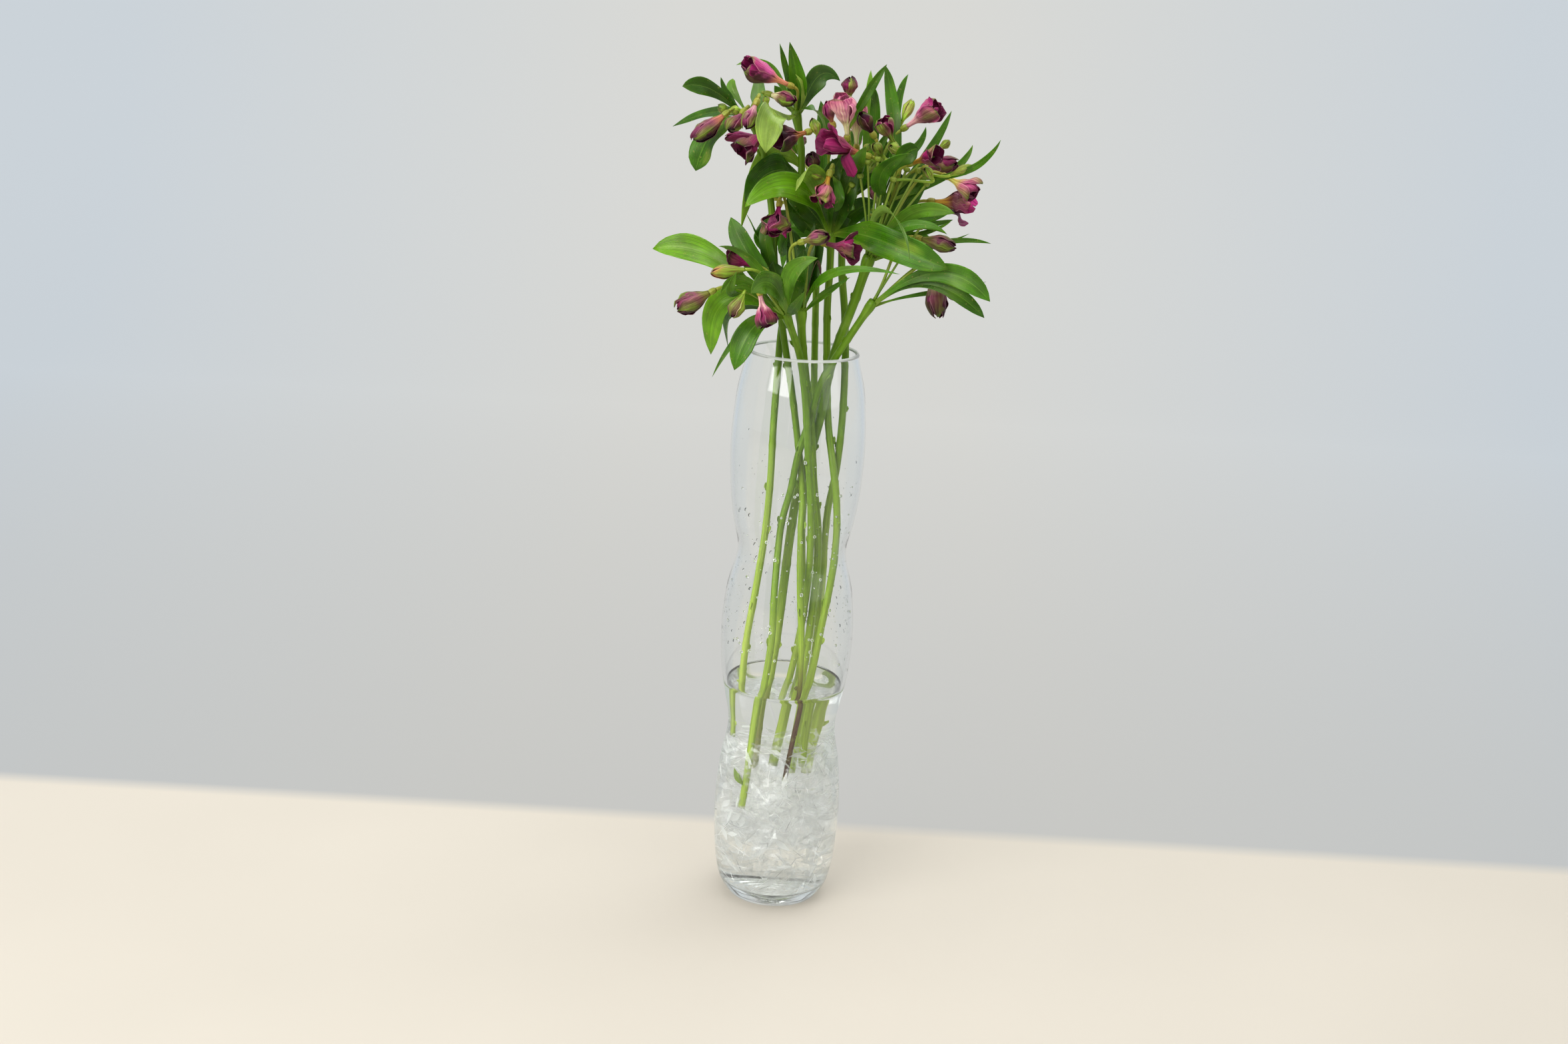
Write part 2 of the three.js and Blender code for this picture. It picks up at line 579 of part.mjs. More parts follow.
// A solid through rings of points, closed by a point before the first and after the last
function stacked(rings, first, last) {
  const points = [...rings.flat(), first, last]
  const faces = []
  const outer = RING_SIDES * (rings.length - 1)
  for (let k = 0; k < RING_SIDES; k += 1) {
    const next = (k + 1) % RING_SIDES
    for (let near = 0; near < outer; near += RING_SIDES) {
      const far = near + RING_SIDES
      faces.push(near + k, near + next, far + next, near + k, far + next, far + k)
    }
    faces.push(next, k, points.length - 2, outer + k, outer + next, points.length - 1)
  }
  return fromPoints(points, faces)
}

function filmEdge(angle) {
  const reach = innerRadius(FILM_TOP) - 4
  const height = creasedTop(reach * Math.cos(angle), reach * Math.sin(angle))
  return { height, radius: clearRadius(height) - crease(angle, height) }
}

// A ring over the creased top of the film, at a share of the way out to its edge
function filmRing(share, lift) {
  return ringOf((angle) => {
    const edge = filmEdge(angle)
    const radius = share * edge.radius
    const over = creasedTop(radius * Math.cos(angle), radius * Math.sin(angle))
    return { radius, height: (share < 1 ? over : edge.height) + lift }
  })
}

function film() {
  const foot = FLOOR + FIT_GAP
  const floorRing = (share) => ringOf(() => ({ radius: share * clearRadius(FLOOR), height: foot }))
  const rings = RING_SHARES.map(floorRing)
  for (let i = 0; i < FILM_LEVELS; i += 1) {
    rings.push(ringOf((angle) => {
      const height = foot + (filmEdge(angle).height - foot) * i / FILM_LEVELS
      return { radius: clearRadius(height) - crease(angle, height), height }
    }))
  }
  rings.push(filmRing(1, 0), ...[...RING_SHARES].reverse().map((share) => filmRing(share, 0)))
  return stacked(rings, new THREE.Vector3(0, 0, foot), new THREE.Vector3(0, 0, creasedTop(0, 0)))
}

// Built from the surface down, so that its underside is split into triangles like the film's top
function water() {
  const surface = (share) => ringOf(() => ({ radius: share * clearRadius(WATER_LEVEL), height: WATER_LEVEL }))
  const rings = RING_SHARES.map(surface)
  for (let i = 0; i <= WATER_LEVELS; i += 1) {
    rings.push(ringOf((angle) => {
      const foot = filmEdge(angle).height + FIT_GAP
      const height = WATER_LEVEL + (foot - WATER_LEVEL) * i / WATER_LEVELS
      return { radius: clearRadius(height), height }
    }))
  }
  rings.push(...[1, ...[...RING_SHARES].reverse()].map((share) => filmRing(share, FIT_GAP)))
  const bottom = new THREE.Vector3(0, 0, creasedTop(0, 0) + FIT_GAP)
  return stacked(rings, new THREE.Vector3(0, 0, WATER_LEVEL), bottom)
}

// Stems and stalks

const stemName = (number) => `stem_${number}`
const stemCurve = (path) => new THREE.CatmullRomCurve3(path, false, 'catmullrom', 0.5)
const curves = STEMS.map(([, points]) => stemCurve(points.map(vec)))

function pointAtHeight(curve, height) {
  let share = 0
  while (share < 1 && curve.getPoint(share).z > height) share += 0.002
  return curve.getPoint(share)
}

// The whorl at the top of a stem: its middle and the way that the stem runs there
function whorlOf(number) {
  const rise = curves[number - 1].getTangent(0).negate()
  return { from: curves[number - 1].getPoint(0), rise }
}

// Where a shoot leaves the whorl: on its own side, a little below or above the middle
function rootTo(number, target, drop) {
  const { from, rise } = whorlOf(number)
  const out = target.clone().sub(from)
  out.addScaledVector(rise, -out.dot(rise)).normalize()
  return from.addScaledVector(out, WHORL_RADIUS).addScaledVector(rise, -drop)
}

// A stalk that leaves a little upwards and arrives along the axis of what it carries
function stalkCurve({ from, rise }, end, axis) {
  const span = end.distanceTo(from)
  const leave = from.clone().lerp(end, 0.3).addScaledVector(rise, 0.12 * span)
  const arrive = end.clone().addScaledVector(axis, -0.3 * span)
  return new THREE.CubicBezierCurve3(from, leave, arrive, end)
}

// The rings of a stalk, from its root to the foot of what it carries
function stalkRings(curve) {
  const frames = framesAlong(curve, 0)
  return STALK_SHARES.map((share) => ({ ...frames[Math.round(share * FRAME_STEPS)], radius: STALK_RADIUS }))
}

// A stalk that ends in a swollen head between its foot and its top
function stalkWith(curve, top, breadth, shares, tip) {
  const rings = stalkRings(curve)
  const { at, side, up } = rings[rings.length - 1]
  shares.forEach(([share, swell]) => {
    rings.push({ at: at.clone().lerp(top, share), side, up, radius: swell * breadth / 2 })
  })
  return ringBody(rings, [1], STALK_SIDES, tip)
}

// The stalk and ovary below a bloom
function carrier(number, base, axis) {
  const top = base.clone().addScaledVector(axis, -SEAT_GAP)
  const foot = top.clone().addScaledVector(axis, -OVARY_HEIGHT)
  const { rise } = whorlOf(number)
  const curve = stalkCurve({ from: rootTo(number, foot, 0), rise }, foot, axis)
  const balls = ballsAlong(curve, STALK_RADIUS)
  const middle = foot.clone().lerp(top, 0.5)
  balls.push([middle.x, middle.y, middle.z, 0.6 * OVARY_BREADTH])
  const make = () => stalkWith(curve, top, OVARY_BREADTH, OVARY_RINGS)
  return { owner: stemName(number), balls, curve, make }
}

// Leaves and bracts

// Frames carried along a curve without twisting, which face the front at the root
function framesAlong(curve, roll) {
  const side = curve.getPoint(1).sub(curve.getPoint(0)).cross(FRONT)
  const frames = []
  for (let i = 0; i <= FRAME_STEPS; i += 1) {
    const tangent = curve.getTangent(i / FRAME_STEPS)
    side.addScaledVector(tangent, -side.dot(tangent)).normalize()
    if (i === 0) side.applyAxisAngle(tangent, degrees(roll))
    const up = side.clone().cross(tangent).normalize()
    frames.push({ at: curve.getPoint(i / FRAME_STEPS), side: side.clone(), up })
  }
  return frames
}

function bladeOn(owner, curve, breadth, roll, shares, widths) {
  const frames = framesAlong(curve, roll)
  const frameAt = (share) => frames[Math.round(share * FRAME_STEPS)]
  const stations = shares.map((share, i) => {
    const half = Math.max(LEAF_ROOT_HALF, widths[i] * breadth / 2)
    const wave = i % 2 === 0 ? 0.06 : -0.04
    return { ...frameAt(share), half, rise: (LEAF_FOLD + wave) * half, thickness: BLADE_THICKNESS }
  })
  const pointAt = (share, across) => {
    const { at, side, up } = frameAt(share)
    const half = 0.5 * breadth * Math.min(1, 3.2 * share, 4.5 * (1 - share))
    const edge = at.clone().addScaledVector(side, across * half)
    return edge.addScaledVector(up, LEAF_FOLD * half * Math.abs(across))
  }
  const balls = ballsOver(pointAt, curve.getLength(), 0.12, breadth / 2)
  return { owner, balls, make: () => blade(stations, frameAt(1).at) }
}

function leaf(number, height, near, far, tip, breadth, roll, outline, lean) {
  const root = height === 0 ? rootTo(number, vec(near), LEAF_DROP) : pointAtHeight(curves[number - 1], height)
  const guides = [leaned(near, 0.3 * lean), leaned(far, 0.7 * lean), leaned(tip, lean)]
  const curve = new THREE.CubicBezierCurve3(root, ...guides)
  const shoot = bladeOn(stemName(number), curve, breadth, roll, LEAF_STATIONS, LEAF_OUTLINES[outline])
  const free = shoot.balls.filter(([x, y, z]) => root.distanceTo(new THREE.Vector3(x, y, z)) > ROOT_ZONE)
  return { ...shoot, free }
}

// Blooms

// The middle of a tepal at a share of its length, and the way out from the bloom's axis
function tepalMiddle(bloom, angle, share, inner) {
  const { base, axis, first, second, form, spread, length } = bloom
  const out = first.clone().multiplyScalar(Math.cos(angle)).addScaledVector(second, Math.sin(angle))
  const turnBack = TURN_BACK[form]
  const along = length * share * (1 + turnBack * share * (1 - 1.4 * share))
  const radius = (CUP_RADIUS + spread * OPENING[form](share)) * (inner ? INNER_SHARE : 1)
  const at = base.clone().addScaledVector(axis, CUP_HEIGHT * (1 - share) + along).addScaledVector(out, radius)
  return { at, out, radius }
}

function tepalSection(bloom, angle, share, breadth, inner) {
  const { at, out, radius } = tepalMiddle(bloom, angle, share, inner)
  const room = inner ? 0.6 * radius + 0.4 : 0.95 * radius
  const half = Math.min(breadth, room)
  const side = out.clone().cross(bloom.axis)
  return { at, side, up: out.clone().negate(), half, rise: TEPAL_CUP * half, thickness: BLADE_THICKNESS }
}

// One body: a cup with a throat, and the three outer and three inner tepals that grow from it
function openBloom(blooms) {
  const { base, axis, first, second, turn } = blooms[0]
  const spot = (angle, radius, height) => base.clone().addScaledVector(axis, height)
    .addScaledVector(first, radius * Math.cos(angle)).addScaledVector(second, radius * Math.sin(angle))
  const points = [base.clone(), spot(0, 0, THROAT_HEIGHT)]
  const feet = []
  const seams = []
  const outsides = []
  const throats = []
  const add = (list, point) => list.push(points.push(point) - 1)
  for (let k = 0; k < 6; k += 1) {
    const middle = turn + Math.PI / 3 * k
    const seam = middle - Math.PI / 6
    add(feet, spot(seam, CUP_FOOT, 0))
    add(seams, spot(seam, CUP_RADIUS, CUP_HEIGHT))
    add(outsides, spot(middle, CUP_RADIUS + 0.3, CUP_HEIGHT))
    add(throats, spot(middle, THROAT_RADIUS, CUP_HEIGHT + 0.5))
  }
  const faces = []
  blooms.forEach((bloom, k) => {
    const next = (k + 1) % 6
    const inner = k % 2 === 1
    const angle = turn + Math.PI / 3 * k
    faces.push(0, feet[next], feet[k])
    faces.push(feet[k], feet[next], outsides[k], feet[k], outsides[k], seams[k])
    faces.push(feet[next], seams[next], outsides[k])
    faces.push(1, throats[k], seams[next], 1, seams[k], throats[k])
    let near = [seams[next], throats[k], seams[k], outsides[k]]
    const stations = inner ? INNER_STATIONS : OUTER_STATIONS
    stations.forEach(([share, breadth]) => {
      const corners = section(tepalSection(bloom, angle, share, breadth * bloom.half, inner))
      const far = corners.map((corner) => points.push(corner) - 1)
      faces.push(...bladeFaces(near, far))
      near = far
    })
    const tip = points.push(tepalMiddle(bloom, angle, 1, inner).at) - 1
    faces.push(...tipFaces(near, tip))
  })
  return fromPoints(points, faces)
}

function bloomAt(owner, form, base, tip, breadth, turn, draw) {
  const axis = tip.clone().sub(base)
  const length = axis.length()
  axis.normalize()
  if (form === 'closed') {
    const balls = ballsAlong(new THREE.LineCurve3(base.clone().lerp(tip, 0.15), tip), 0.5 * breadth)
    balls.push([base.x, base.y, base.z, 0.2 * breadth])
    const rings = ringsAlong(base, tip, breadth, CLOSED_RINGS, degrees(turn), CLOSED_TWIST)
    const make = () => ringBody(rings, CLOSED_LAPS, 3, tip)
    return { owner, balls, make }
  }
  const turnTo = new THREE.Quaternion().setFromUnitVectors(UP, axis)
  const first = new THREE.Vector3(1, 0, 0).applyQuaternion(turnTo)
  const second = new THREE.Vector3(0, 1, 0).applyQuaternion(turnTo)
  const balls = ballsAlong(new THREE.LineCurve3(base, base.clone().lerp(tip, 0.3)), CUP_RADIUS)
  const blooms = [0, 1, 2, 3, 4, 5].map((k) => {
    const inner = k % 2 === 1
    const bloom = { base, axis, first, second, form, turn: degrees(turn) }
    bloom.length = length * (0.93 + 0.12 * draw())
    bloom.spread = Math.max(2, 0.5 * breadth - CUP_RADIUS) * (0.95 + 0.14 * draw())
    bloom.half = inner ? Math.min(7, 0.17 * length + 1) : Math.min(10, 0.25 * length + 1)
    const angle = bloom.turn + Math.PI / 3 * k
    const pointAt = (share, across) => {
      const { at, side, half } = tepalSection(bloom, angle, share, bloom.half, inner)
      return at.addScaledVector(side, across * half)
    }
    balls.push(...ballsOver(pointAt, length, 0.25, bloom.half))
    return bloom
  })
  return { owner, balls, make: () => openBloom(blooms) }
}

// The whole bunch

const model = new THREE.Group()
const stemParts = STEMS.map(([radius], i) => {
  place({ owner: stemName(i + 1), balls: ballsAlong(curves[i], radius) })
  const { from, rise } = whorlOf(i + 1)
  const foot = from.clone().addScaledVector(rise, WHORL_TOP - WHORL_HEIGHT)
  const top = from.clone().addScaledVector(rise, WHORL_TOP)
  const rings = ringsAlong(foot, top, 2 * WHORL_SWELL * radius, WHORL_RINGS, 0, 0)
  return [rod(curves[i], radius, STEM_SIDES, STEM_STEPS), ringBody(rings, [1], STEM_SIDES)]
})

const stalks = BLOOMS.map(([number, form, base, tip, breadth, turn], i) => {
  const name = `bloom_${String(i + 1).padStart(2, '0')}`
  const shootAt = (lean) => {
    const foot = leaned(base, lean)
    const end = leaned(tip, lean)
    const axis = end.clone().sub(foot).normalize()
    const draw = makeDraw(BLOOM_SEED * (i + 1))
    return [bloomAt(name, form, foot, end, breadth, turn, draw), carrier(number, foot, axis)]
  }
  const [bloom, support] = leanClear(shootAt, name)
  stemParts[number - 1].push(support.make())
  model.add(toMesh(bloom.make(), name, LOOKS[form]))
  return support.curve
})

// Where a bud or bract grows from the stalk of a bloom
function forkOf(bloom, share) {
  const curve = stalks[bloom - 1]
  return { number: BLOOMS[bloom - 1][0], from: curve.getPoint(share), rise: curve.getTangent(share) }
}

BUDS.forEach(([bloom, share, base, tip, breadth], i) => {
  const fork = forkOf(bloom, share)
  const shootAt = (lean) => {
    const foot = leaned(base, lean)
    const end = leaned(tip, lean)
    const curve = stalkCurve(fork, foot, end.clone().sub(foot).normalize())
    const middle = new THREE.LineCurve3(foot, end)
    const balls = [...ballsAlong(curve, STALK_RADIUS), ...ballsAlong(middle, breadth / 2)]
    const make = () => stalkWith(curve, end, breadth, BUD_RINGS, end)
    return [{ owner: stemName(fork.number), balls, make }]
  }
  const [bud] = leanClear(shootAt, `bud ${i + 1}`)
  stemParts[fork.number - 1].push(bud.make())
})

LEAVES.forEach(([number, ...shape], i) => {
  const [part] = leanClear((lean) => [leaf(number, ...shape, lean)], `leaf ${i + 1}`)
  stemParts[number - 1].push(part.make())
})

BRACTS.forEach(([bloom, share, guide, tip, breadth], i) => {
  const { number, from } = forkOf(bloom, share)
  const shootAt = (lean) => {
    const curve = new THREE.QuadraticBezierCurve3(from, leaned(guide, 0.6 * lean), leaned(tip, lean))
    return [bladeOn(stemName(number), curve, breadth, 0, BRACT_STATIONS, BRACT_OUTLINE)]
  }
  const [part] = leanClear(shootAt, `bract ${i + 1}`)
  stemParts[number - 1].push(part.make())
})

stemParts.forEach((parts, i) => model.add(toMesh(join(parts), stemName(i + 1), LOOKS.stem)))

// Each hole follows its stem and goes a little past its cut end
const holes = STEMS.map(([radius, points]) => {
  const path = points.map(vec)
  const [before, end] = path.slice(-2)
  end.add(end.clone().sub(before).setLength(HOLE_CLEARANCE))
  return rod(stemCurve(path), radius + HOLE_CLEARANCE, STEM_SIDES, STEM_STEPS)
})
const drilled = (body) => holes.reduce((rest, hole) => rest.subtract(hole), body)
model.add(toMesh(vase(), 'vase', LOOKS.glass))
model.add(toMesh(drilled(water()), 'water', LOOKS.water))
model.add(toMesh(drilled(film()), 'film', LOOKS.film))

export default model
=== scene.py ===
"""Cut alstroemeria stems in a tall clear glass vase, with water and crumpled clear film.

Sizes and places are in millimetres and become metres where a mesh is made. +Z is up, X to the
right and Y to the back.
"""

import math
from collections import namedtuple

import bpy
import numpy as np
from mathutils import Matrix, Vector


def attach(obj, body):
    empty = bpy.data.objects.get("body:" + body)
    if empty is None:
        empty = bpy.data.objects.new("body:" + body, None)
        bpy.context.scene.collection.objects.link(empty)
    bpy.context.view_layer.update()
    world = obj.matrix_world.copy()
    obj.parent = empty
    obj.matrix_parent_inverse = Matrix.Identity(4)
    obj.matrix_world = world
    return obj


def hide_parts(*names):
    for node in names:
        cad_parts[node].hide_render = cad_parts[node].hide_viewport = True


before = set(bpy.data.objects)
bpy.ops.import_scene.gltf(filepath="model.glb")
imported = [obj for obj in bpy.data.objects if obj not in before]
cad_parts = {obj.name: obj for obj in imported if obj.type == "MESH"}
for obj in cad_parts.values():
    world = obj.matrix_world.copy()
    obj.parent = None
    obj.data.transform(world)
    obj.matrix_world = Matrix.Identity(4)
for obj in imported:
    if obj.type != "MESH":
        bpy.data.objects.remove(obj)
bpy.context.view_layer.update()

MM = 0.001

# Camera: lens, place and the way it looks, in degrees
LENS = 43.36
CAMERA_PLACE = (0, -1577.3, 793.5)
PITCH = 15.785
ROLL = 3.318
YAW = -0.294

# Vase
VASE_HEIGHT = 500
FOOT_RADIUS = 37
WALL = 3.2
RIM_ROUND = 2.2
SHOULDER = VASE_HEIGHT - 4
FLOOR = 14
FLOOR_CORNER = 4
BASE_TOP = 24
BASE_RIPPLE = 0.3
BASE_STREAKS = 70
STREAK_SEED = 3
VASE_SIDES = 96
VASE_ROWS = 110
# Outer radius of the three bulges and two waists, as [height, radius] from the foot to the rim
VASE_OUTLINE = [
    [0, 40], [4, 43.5], [18, 50.5], [45, 54.6], [82, 56.4], [124, 53.6], [164, 47.7], [190, 52], [218, 56.7],
    [250, 58], [286, 55.2], [326, 47.2], [352, 52.6], [384, 56.6], [416, 57.8], [460, 55], [495, 47.6],
]

# Water and film
WATER_LEVEL = 202
WATER_ROWS = 60
MENISCUS = 1.2
MENISCUS_REACH = 1.6
WATER_BITE = 0.15
EDGE_TINT = (0.8, 0.83, 0.82)
WALL_DROPS = 460
STEM_DROPS = 34
DROP_SIDES = 8
DROP_SEED = 21
# A drop's outline, as [radius, height] from its foot to its top, as shares of its size
DROP_OUTLINE = [[0, -0.15], [1, -0.15], [0.94, 0.25], [0.66, 0.6], [0.25, 0.78], [0, 0.8]]
FILM_TOP = 156
FILM_SHEETS = 70
FILM_HALF = 0.05
FILM_GAP = 1.5
FILM_SEED = 7
SHEET_ROWS = 9
FOLD_DEPTH = 10
FOLD_SIZE = 13
# The shards and creases in the film: how many, and the least and most of half their length and width. Bright
# creases are painted highlights, and dim ones painted dark lines, along the folds
SHARDS = 260
SHARD_LENGTH = (4, 12)
SHARD_WIDTH = (0.9, 3.2)
CREASE_HIGHLIGHTS = 170
DARK_CREASE_LINES = 60
CREASE_LENGTH = (3, 11)
CREASE_WIDTH = (0.12, 0.42)
CREASE_BOW = 0.8

# Stems, and the stalks and ovaries that carry the blooms
STEM_SEED = 11
STEM_ROWS = 130
STEM_SIDES = 16
STALK_ROWS = 24
STALK_SIDES = 10
OVARY_ROWS = 10
OVARY_SIDES = 24
STALK_RADIUS = 1.4
RAY_RADIUS = 1.05
OVARY_HEIGHT = 6.5
OVARY_BREADTH = 5.8
SEAT_GAP = 0.3
WHORL_RADIUS = 2.4
LEAF_DROP = 4
ROOT_ZONE = 16
NODE_SPACING = 36
GOLDEN_TURN = 2.4
# The stems whose ends have browned: colour, the heights that it comes in between, and its strength
BROWN_ENDS = {2: ("52331a", 250, 180, 1), 6: ("8a7a5c", 200, 150, 0.6)}
NARROW_STEM = 2
NARROWING = 0.68

# Leaves
LEAF_FOLD = 0.28
LEAF_WAVE = 0.2
LEAF_TWIST = 0.26
RIB_HEIGHT = 0.025
LEAF_THICKNESS = 0.5
LEAF_ROWS = 27
LEAF_COLUMNS = 21
FRAME_STEPS = 50
OUTLINE_SHARES = [0, 0.2, 0.5, 0.8, 0.93, 1]
LEAF_OUTLINES = {
    "leaf": [0.14, 0.5, 1, 0.62, 0.27, 0.01],
    "blunt": [0.12, 0.45, 0.96, 0.88, 0.52, 0.02],
    "spoon": [0.16, 0.22, 0.62, 1, 0.66, 0.02],
    "bract": [0.3, 0.7, 0.95, 0.66, 0.3, 0.01],
    "broad": [0.2, 0.72, 1.15, 0.85, 0.42, 0.02],
    "drooping": [0.12, 0.34, 0.95, 1.15, 0.74, 0.02],
    "stalked": [0.08, 0.08, 0.12, 1.05, 0.9, 0.02],
}

# Blooms
CUP_RADIUS = 3
CUP_HEIGHT = 4
INNER_SHARE = 0.76
TEPAL_THICKNESS = 0.45
TEPAL_ROWS = 22
TEPAL_COLUMNS = 13
BLOOM_SEED = 48271
PETAL_SEED = 5
CLOSED_TWIST = 0.5
CLOSED_TONE = 0.72
# How an open bloom's tepals spread along their length, how wide, the least and most that their tips
# curl, how far they turn back, how they are cupped, and how deeply they are crumpled
Form = namedtuple("Form", "opening bulge curl turn_back cup crumple")
FORMS = {
    "open": Form(lambda share: share ** 1.7, 0.95, (-1.2, 0.2), 0.2, 0.5, 0.9),
    "trumpet": Form(lambda share: share ** 1.25, 1.05, (-1.5, -0.3), 0.05, -0.1, 0.7),
    "wilted": Form(lambda share: np.sin(0.72 * np.pi * share ** 0.75), 1, (-1.3, 0.2), 0, -0.2, 2.4),
}
# The breadth of an open tepal along its length, of inner and outer ones
INNER_OUTLINE = [[0, 0.15, 0.4, 0.65, 0.85, 0.95, 1], [0.16, 0.2, 0.42, 0.92, 1, 0.78, 0.14]]
OUTER_OUTLINE = [[0, 0.12, 0.3, 0.55, 0.8, 0.94, 1], [0.18, 0.24, 0.46, 0.86, 1, 0.82, 0.14]]
# The tepals that hang or stand away from the rest: bloom, side they are on, and how far they turn
LOOSE_TEPALS = {
    6: [[-0.3, 0, -1], 0.6], 15: [[0.2, -0.3, -1], 1.9], 17: [[0, 0, 1], -0.5], 19: [[0.4, -0.2, 1], 0.5],
    20: [[0.2, -0.3, -1], 0.9], 22: [[1, -0.2, 0], 0.5], 25: [[-0.2, 0, 1], 0.6], 26: [[-0.2, 0, 1], 0.7],
    28: [[1, 0, 0.2], 0.6],
}

# How far a shoot may lean back or forward to pass its neighbours, and the room it leaves
LEAN_STEP = 4
LEAN_LIMIT = 60
LEAN_DROP = 0.09
LEAF_LEANS = (0.3, 0.7, 1)
BRACT_LEANS = (0.6, 1)
BALL_SPACING = 3.2
BALL_RADIUS = 1.6
CLEAR_GAP = 0.5

# The stems: radius, then the points passed from the whorl at the top to the cut end
STEMS = [
    [3.1, [[-18, 15, 697], [-11, 14, 657], [-11, 10, 602], [-14, 8, 569], [-17, 6, 538], [-20, 5, 512],
           [-21, 2, 478], [-22, 0, 432], [-22, 0, 385], [-24, -2, 338], [-29, -4, 289], [-35, -6, 240],
           [-37, -8, 194], [-37, -8, 150]]],
    [3.0, [[-56, -8, 693], [-42, 2, 660], [-33, -2, 614], [-28, -6, 570], [-22, -7, 537],
           [-17, -5, 509], [-9, 0, 469], [-1, 4, 423], [6, 5, 376], [7, -3, 341], [9, -12, 295],
           [13, -18, 247], [14, -24, 200], [10, -28, 161], [5, -30, 120]]],
    [3.1, [[-17, -45, 538], [-10, -34, 520], [-2, -26, 496], [4, -20, 461], [9, -16, 414], [14, -11, 367],
           [16, -6, 325], [15, 2, 280], [10, 6, 234], [3, 8, 189], [-4, 8, 120]]],
    [3.6, [[-4, -30, 540], [-2, -20, 515], [2, -9, 485], [10, 0, 435], [15, 1, 387], [22, 5, 338],
           [23, 8, 301], [21, 8, 258], [17, 6, 214], [12, 0, 178], [8, -8, 120]]],
    [3.2, [[17, 5, 601], [18, 4, 571], [18, 4, 533], [21, 9, 482], [25, 11, 436], [31, 3, 401],
           [36, -2, 371], [38, -3, 335], [35, -4, 293], [30, -6, 257], [25, -10, 221], [19, -14, 184],
           [17, -18, 130]]],
    [4.0, [[50, -20, 585], [41, -17, 550], [30, -14, 514], [23, -9, 486], [18, 3, 444], [11, 14, 407],
           [2, 16, 370], [-2, 16, 334], [-5, 13, 292], [-9, 10, 237], [-14, 6, 188], [-18, -2, 120]]],
    [3.2, [[34, 25, 633], [28, 20, 603], [28, 16, 570], [33, 11, 531], [36, 8, 492], [37, 9, 445],
           [35, 12, 397], [30, 14, 361], [29, 16, 336], [29, 18, 298], [28, 20, 254], [25, 22, 209],
           [19, 22, 167], [16, 20, 110]]],
    [3.1, [[55, -40, 551], [40, -34, 524], [27, -28, 500], [16, -22, 476], [9, -11, 443], [1, -5, 411],
           [-4, 4, 376], [-10, 4, 348], [-12, 0, 320], [-13, -8, 285], [-13, -14, 244], [-17, -20, 203],
           [-22, -25, 161], [-25, -28, 121], [-28, -30, 92]]],
    [3.0, [[6, 46, 620], [7, 38, 576], [8, 33, 537], [10, 30, 486], [12, 26, 440], [10, 28, 392],
           [8, 30, 343], [11, 30, 293], [13, 31, 243], [13, 33, 191], [8, 34, 125]]],
]

# The blooms: stem, form, base, tip, breadth, turn in degrees
BLOOMS = [
    [1, "trumpet", [-26, -5, 718], [-61, -22, 732], 24, 0],
    [1, "closed", [-38, -8, 709], [-17, -18, 705], 13, 0],
    [2, "closed", [-76, -25, 691], [-102, -36, 668], 17, 40],
    [2, "closed", [-61, -30, 693], [-71, -38, 679], 14, 10],
    [2, "closed", [-50, -35, 701], [-57, -44, 682], 13, 70],
    [2, "open", [-40, -26, 683], [-60, -42, 664], 26, 20],
    [2, "closed", [-49, 12, 674], [-77, 8, 671], 9, 0],
    [5, "trumpet", [-9, 5, 679], [-33, -12, 672], 27, 30],
    [7, "closed", [25, 10, 710], [25, 8, 728], 14, 15],
    [7, "closed", [12, 0, 690], [6, -6, 707], 11, 50],
    [7, "trumpet", [25, -12, 681], [21, -20, 706], 22, 0],
    [7, "trumpet", [34, 6, 673], [32, 2, 702], 19, 40],
    [7, "closed", [45, -14, 685], [34, -18, 701], 14, 80],
    [6, "trumpet", [63, -14, 677], [51, -22, 697], 19, 10],
    [7, "open", [40, -26, 667], [6, -44, 677], 28, 0],
    [6, "trumpet", [74, 0, 690], [101, -14, 712], 27, 20],
    [6, "open", [80, -26, 663], [100, -42, 673], 26, 50],
    [6, "closed", [95, 8, 657], [119, -2, 663], 15, 0],
    [6, "trumpet", [110, -10, 651], [135, -22, 640], 21, 30],
    [6, "wilted", [102, 12, 629], [137, 8, 629], 18, 0],
    [5, "closed", [2, -8, 651], [-5, -16, 666], 13, 20],
    [5, "wilted", [12, -30, 648], [7, -40, 626], 18, 10],
    [4, "wilted", [-27, -26, 621], [-29, -38, 598], 24, 35],
    [4, "closed", [-4, -52, 598], [17, -62, 606], 15, 0],
    [4, "open", [14, -46, 596], [40, -64, 594], 26, 15],
    [3, "open", [-45, -45, 575], [-70, -44, 580], 24, 40],
    [3, "closed", [-79, -62, 553], [-108, -72, 537], 20, 20],
    [3, "trumpet", [-37, -80, 556], [-30, -88, 532], 22, 0],
    [8, "closed", [91, -34, 603], [120, -44, 599], 14, 10],
    [8, "closed", [102, -48, 575], [107, -52, 546], 15, 30],
    [8, "closed", [109, -22, 573], [124, -26, 558], 12, 60],
    [9, "open", [72, 62, 622], [79, 80, 639], 24, 0],
    [9, "closed", [57, 54, 619], [52, 68, 637], 13, 0],
    [9, "open", [-11, 76, 653], [-21, 96, 668], 25, 30],
    [9, "trumpet", [31, 82, 655], [32, 96, 677], 24, 10],
    [9, "closed", [-35, 74, 620], [-54, 88, 634], 15, 0],
]

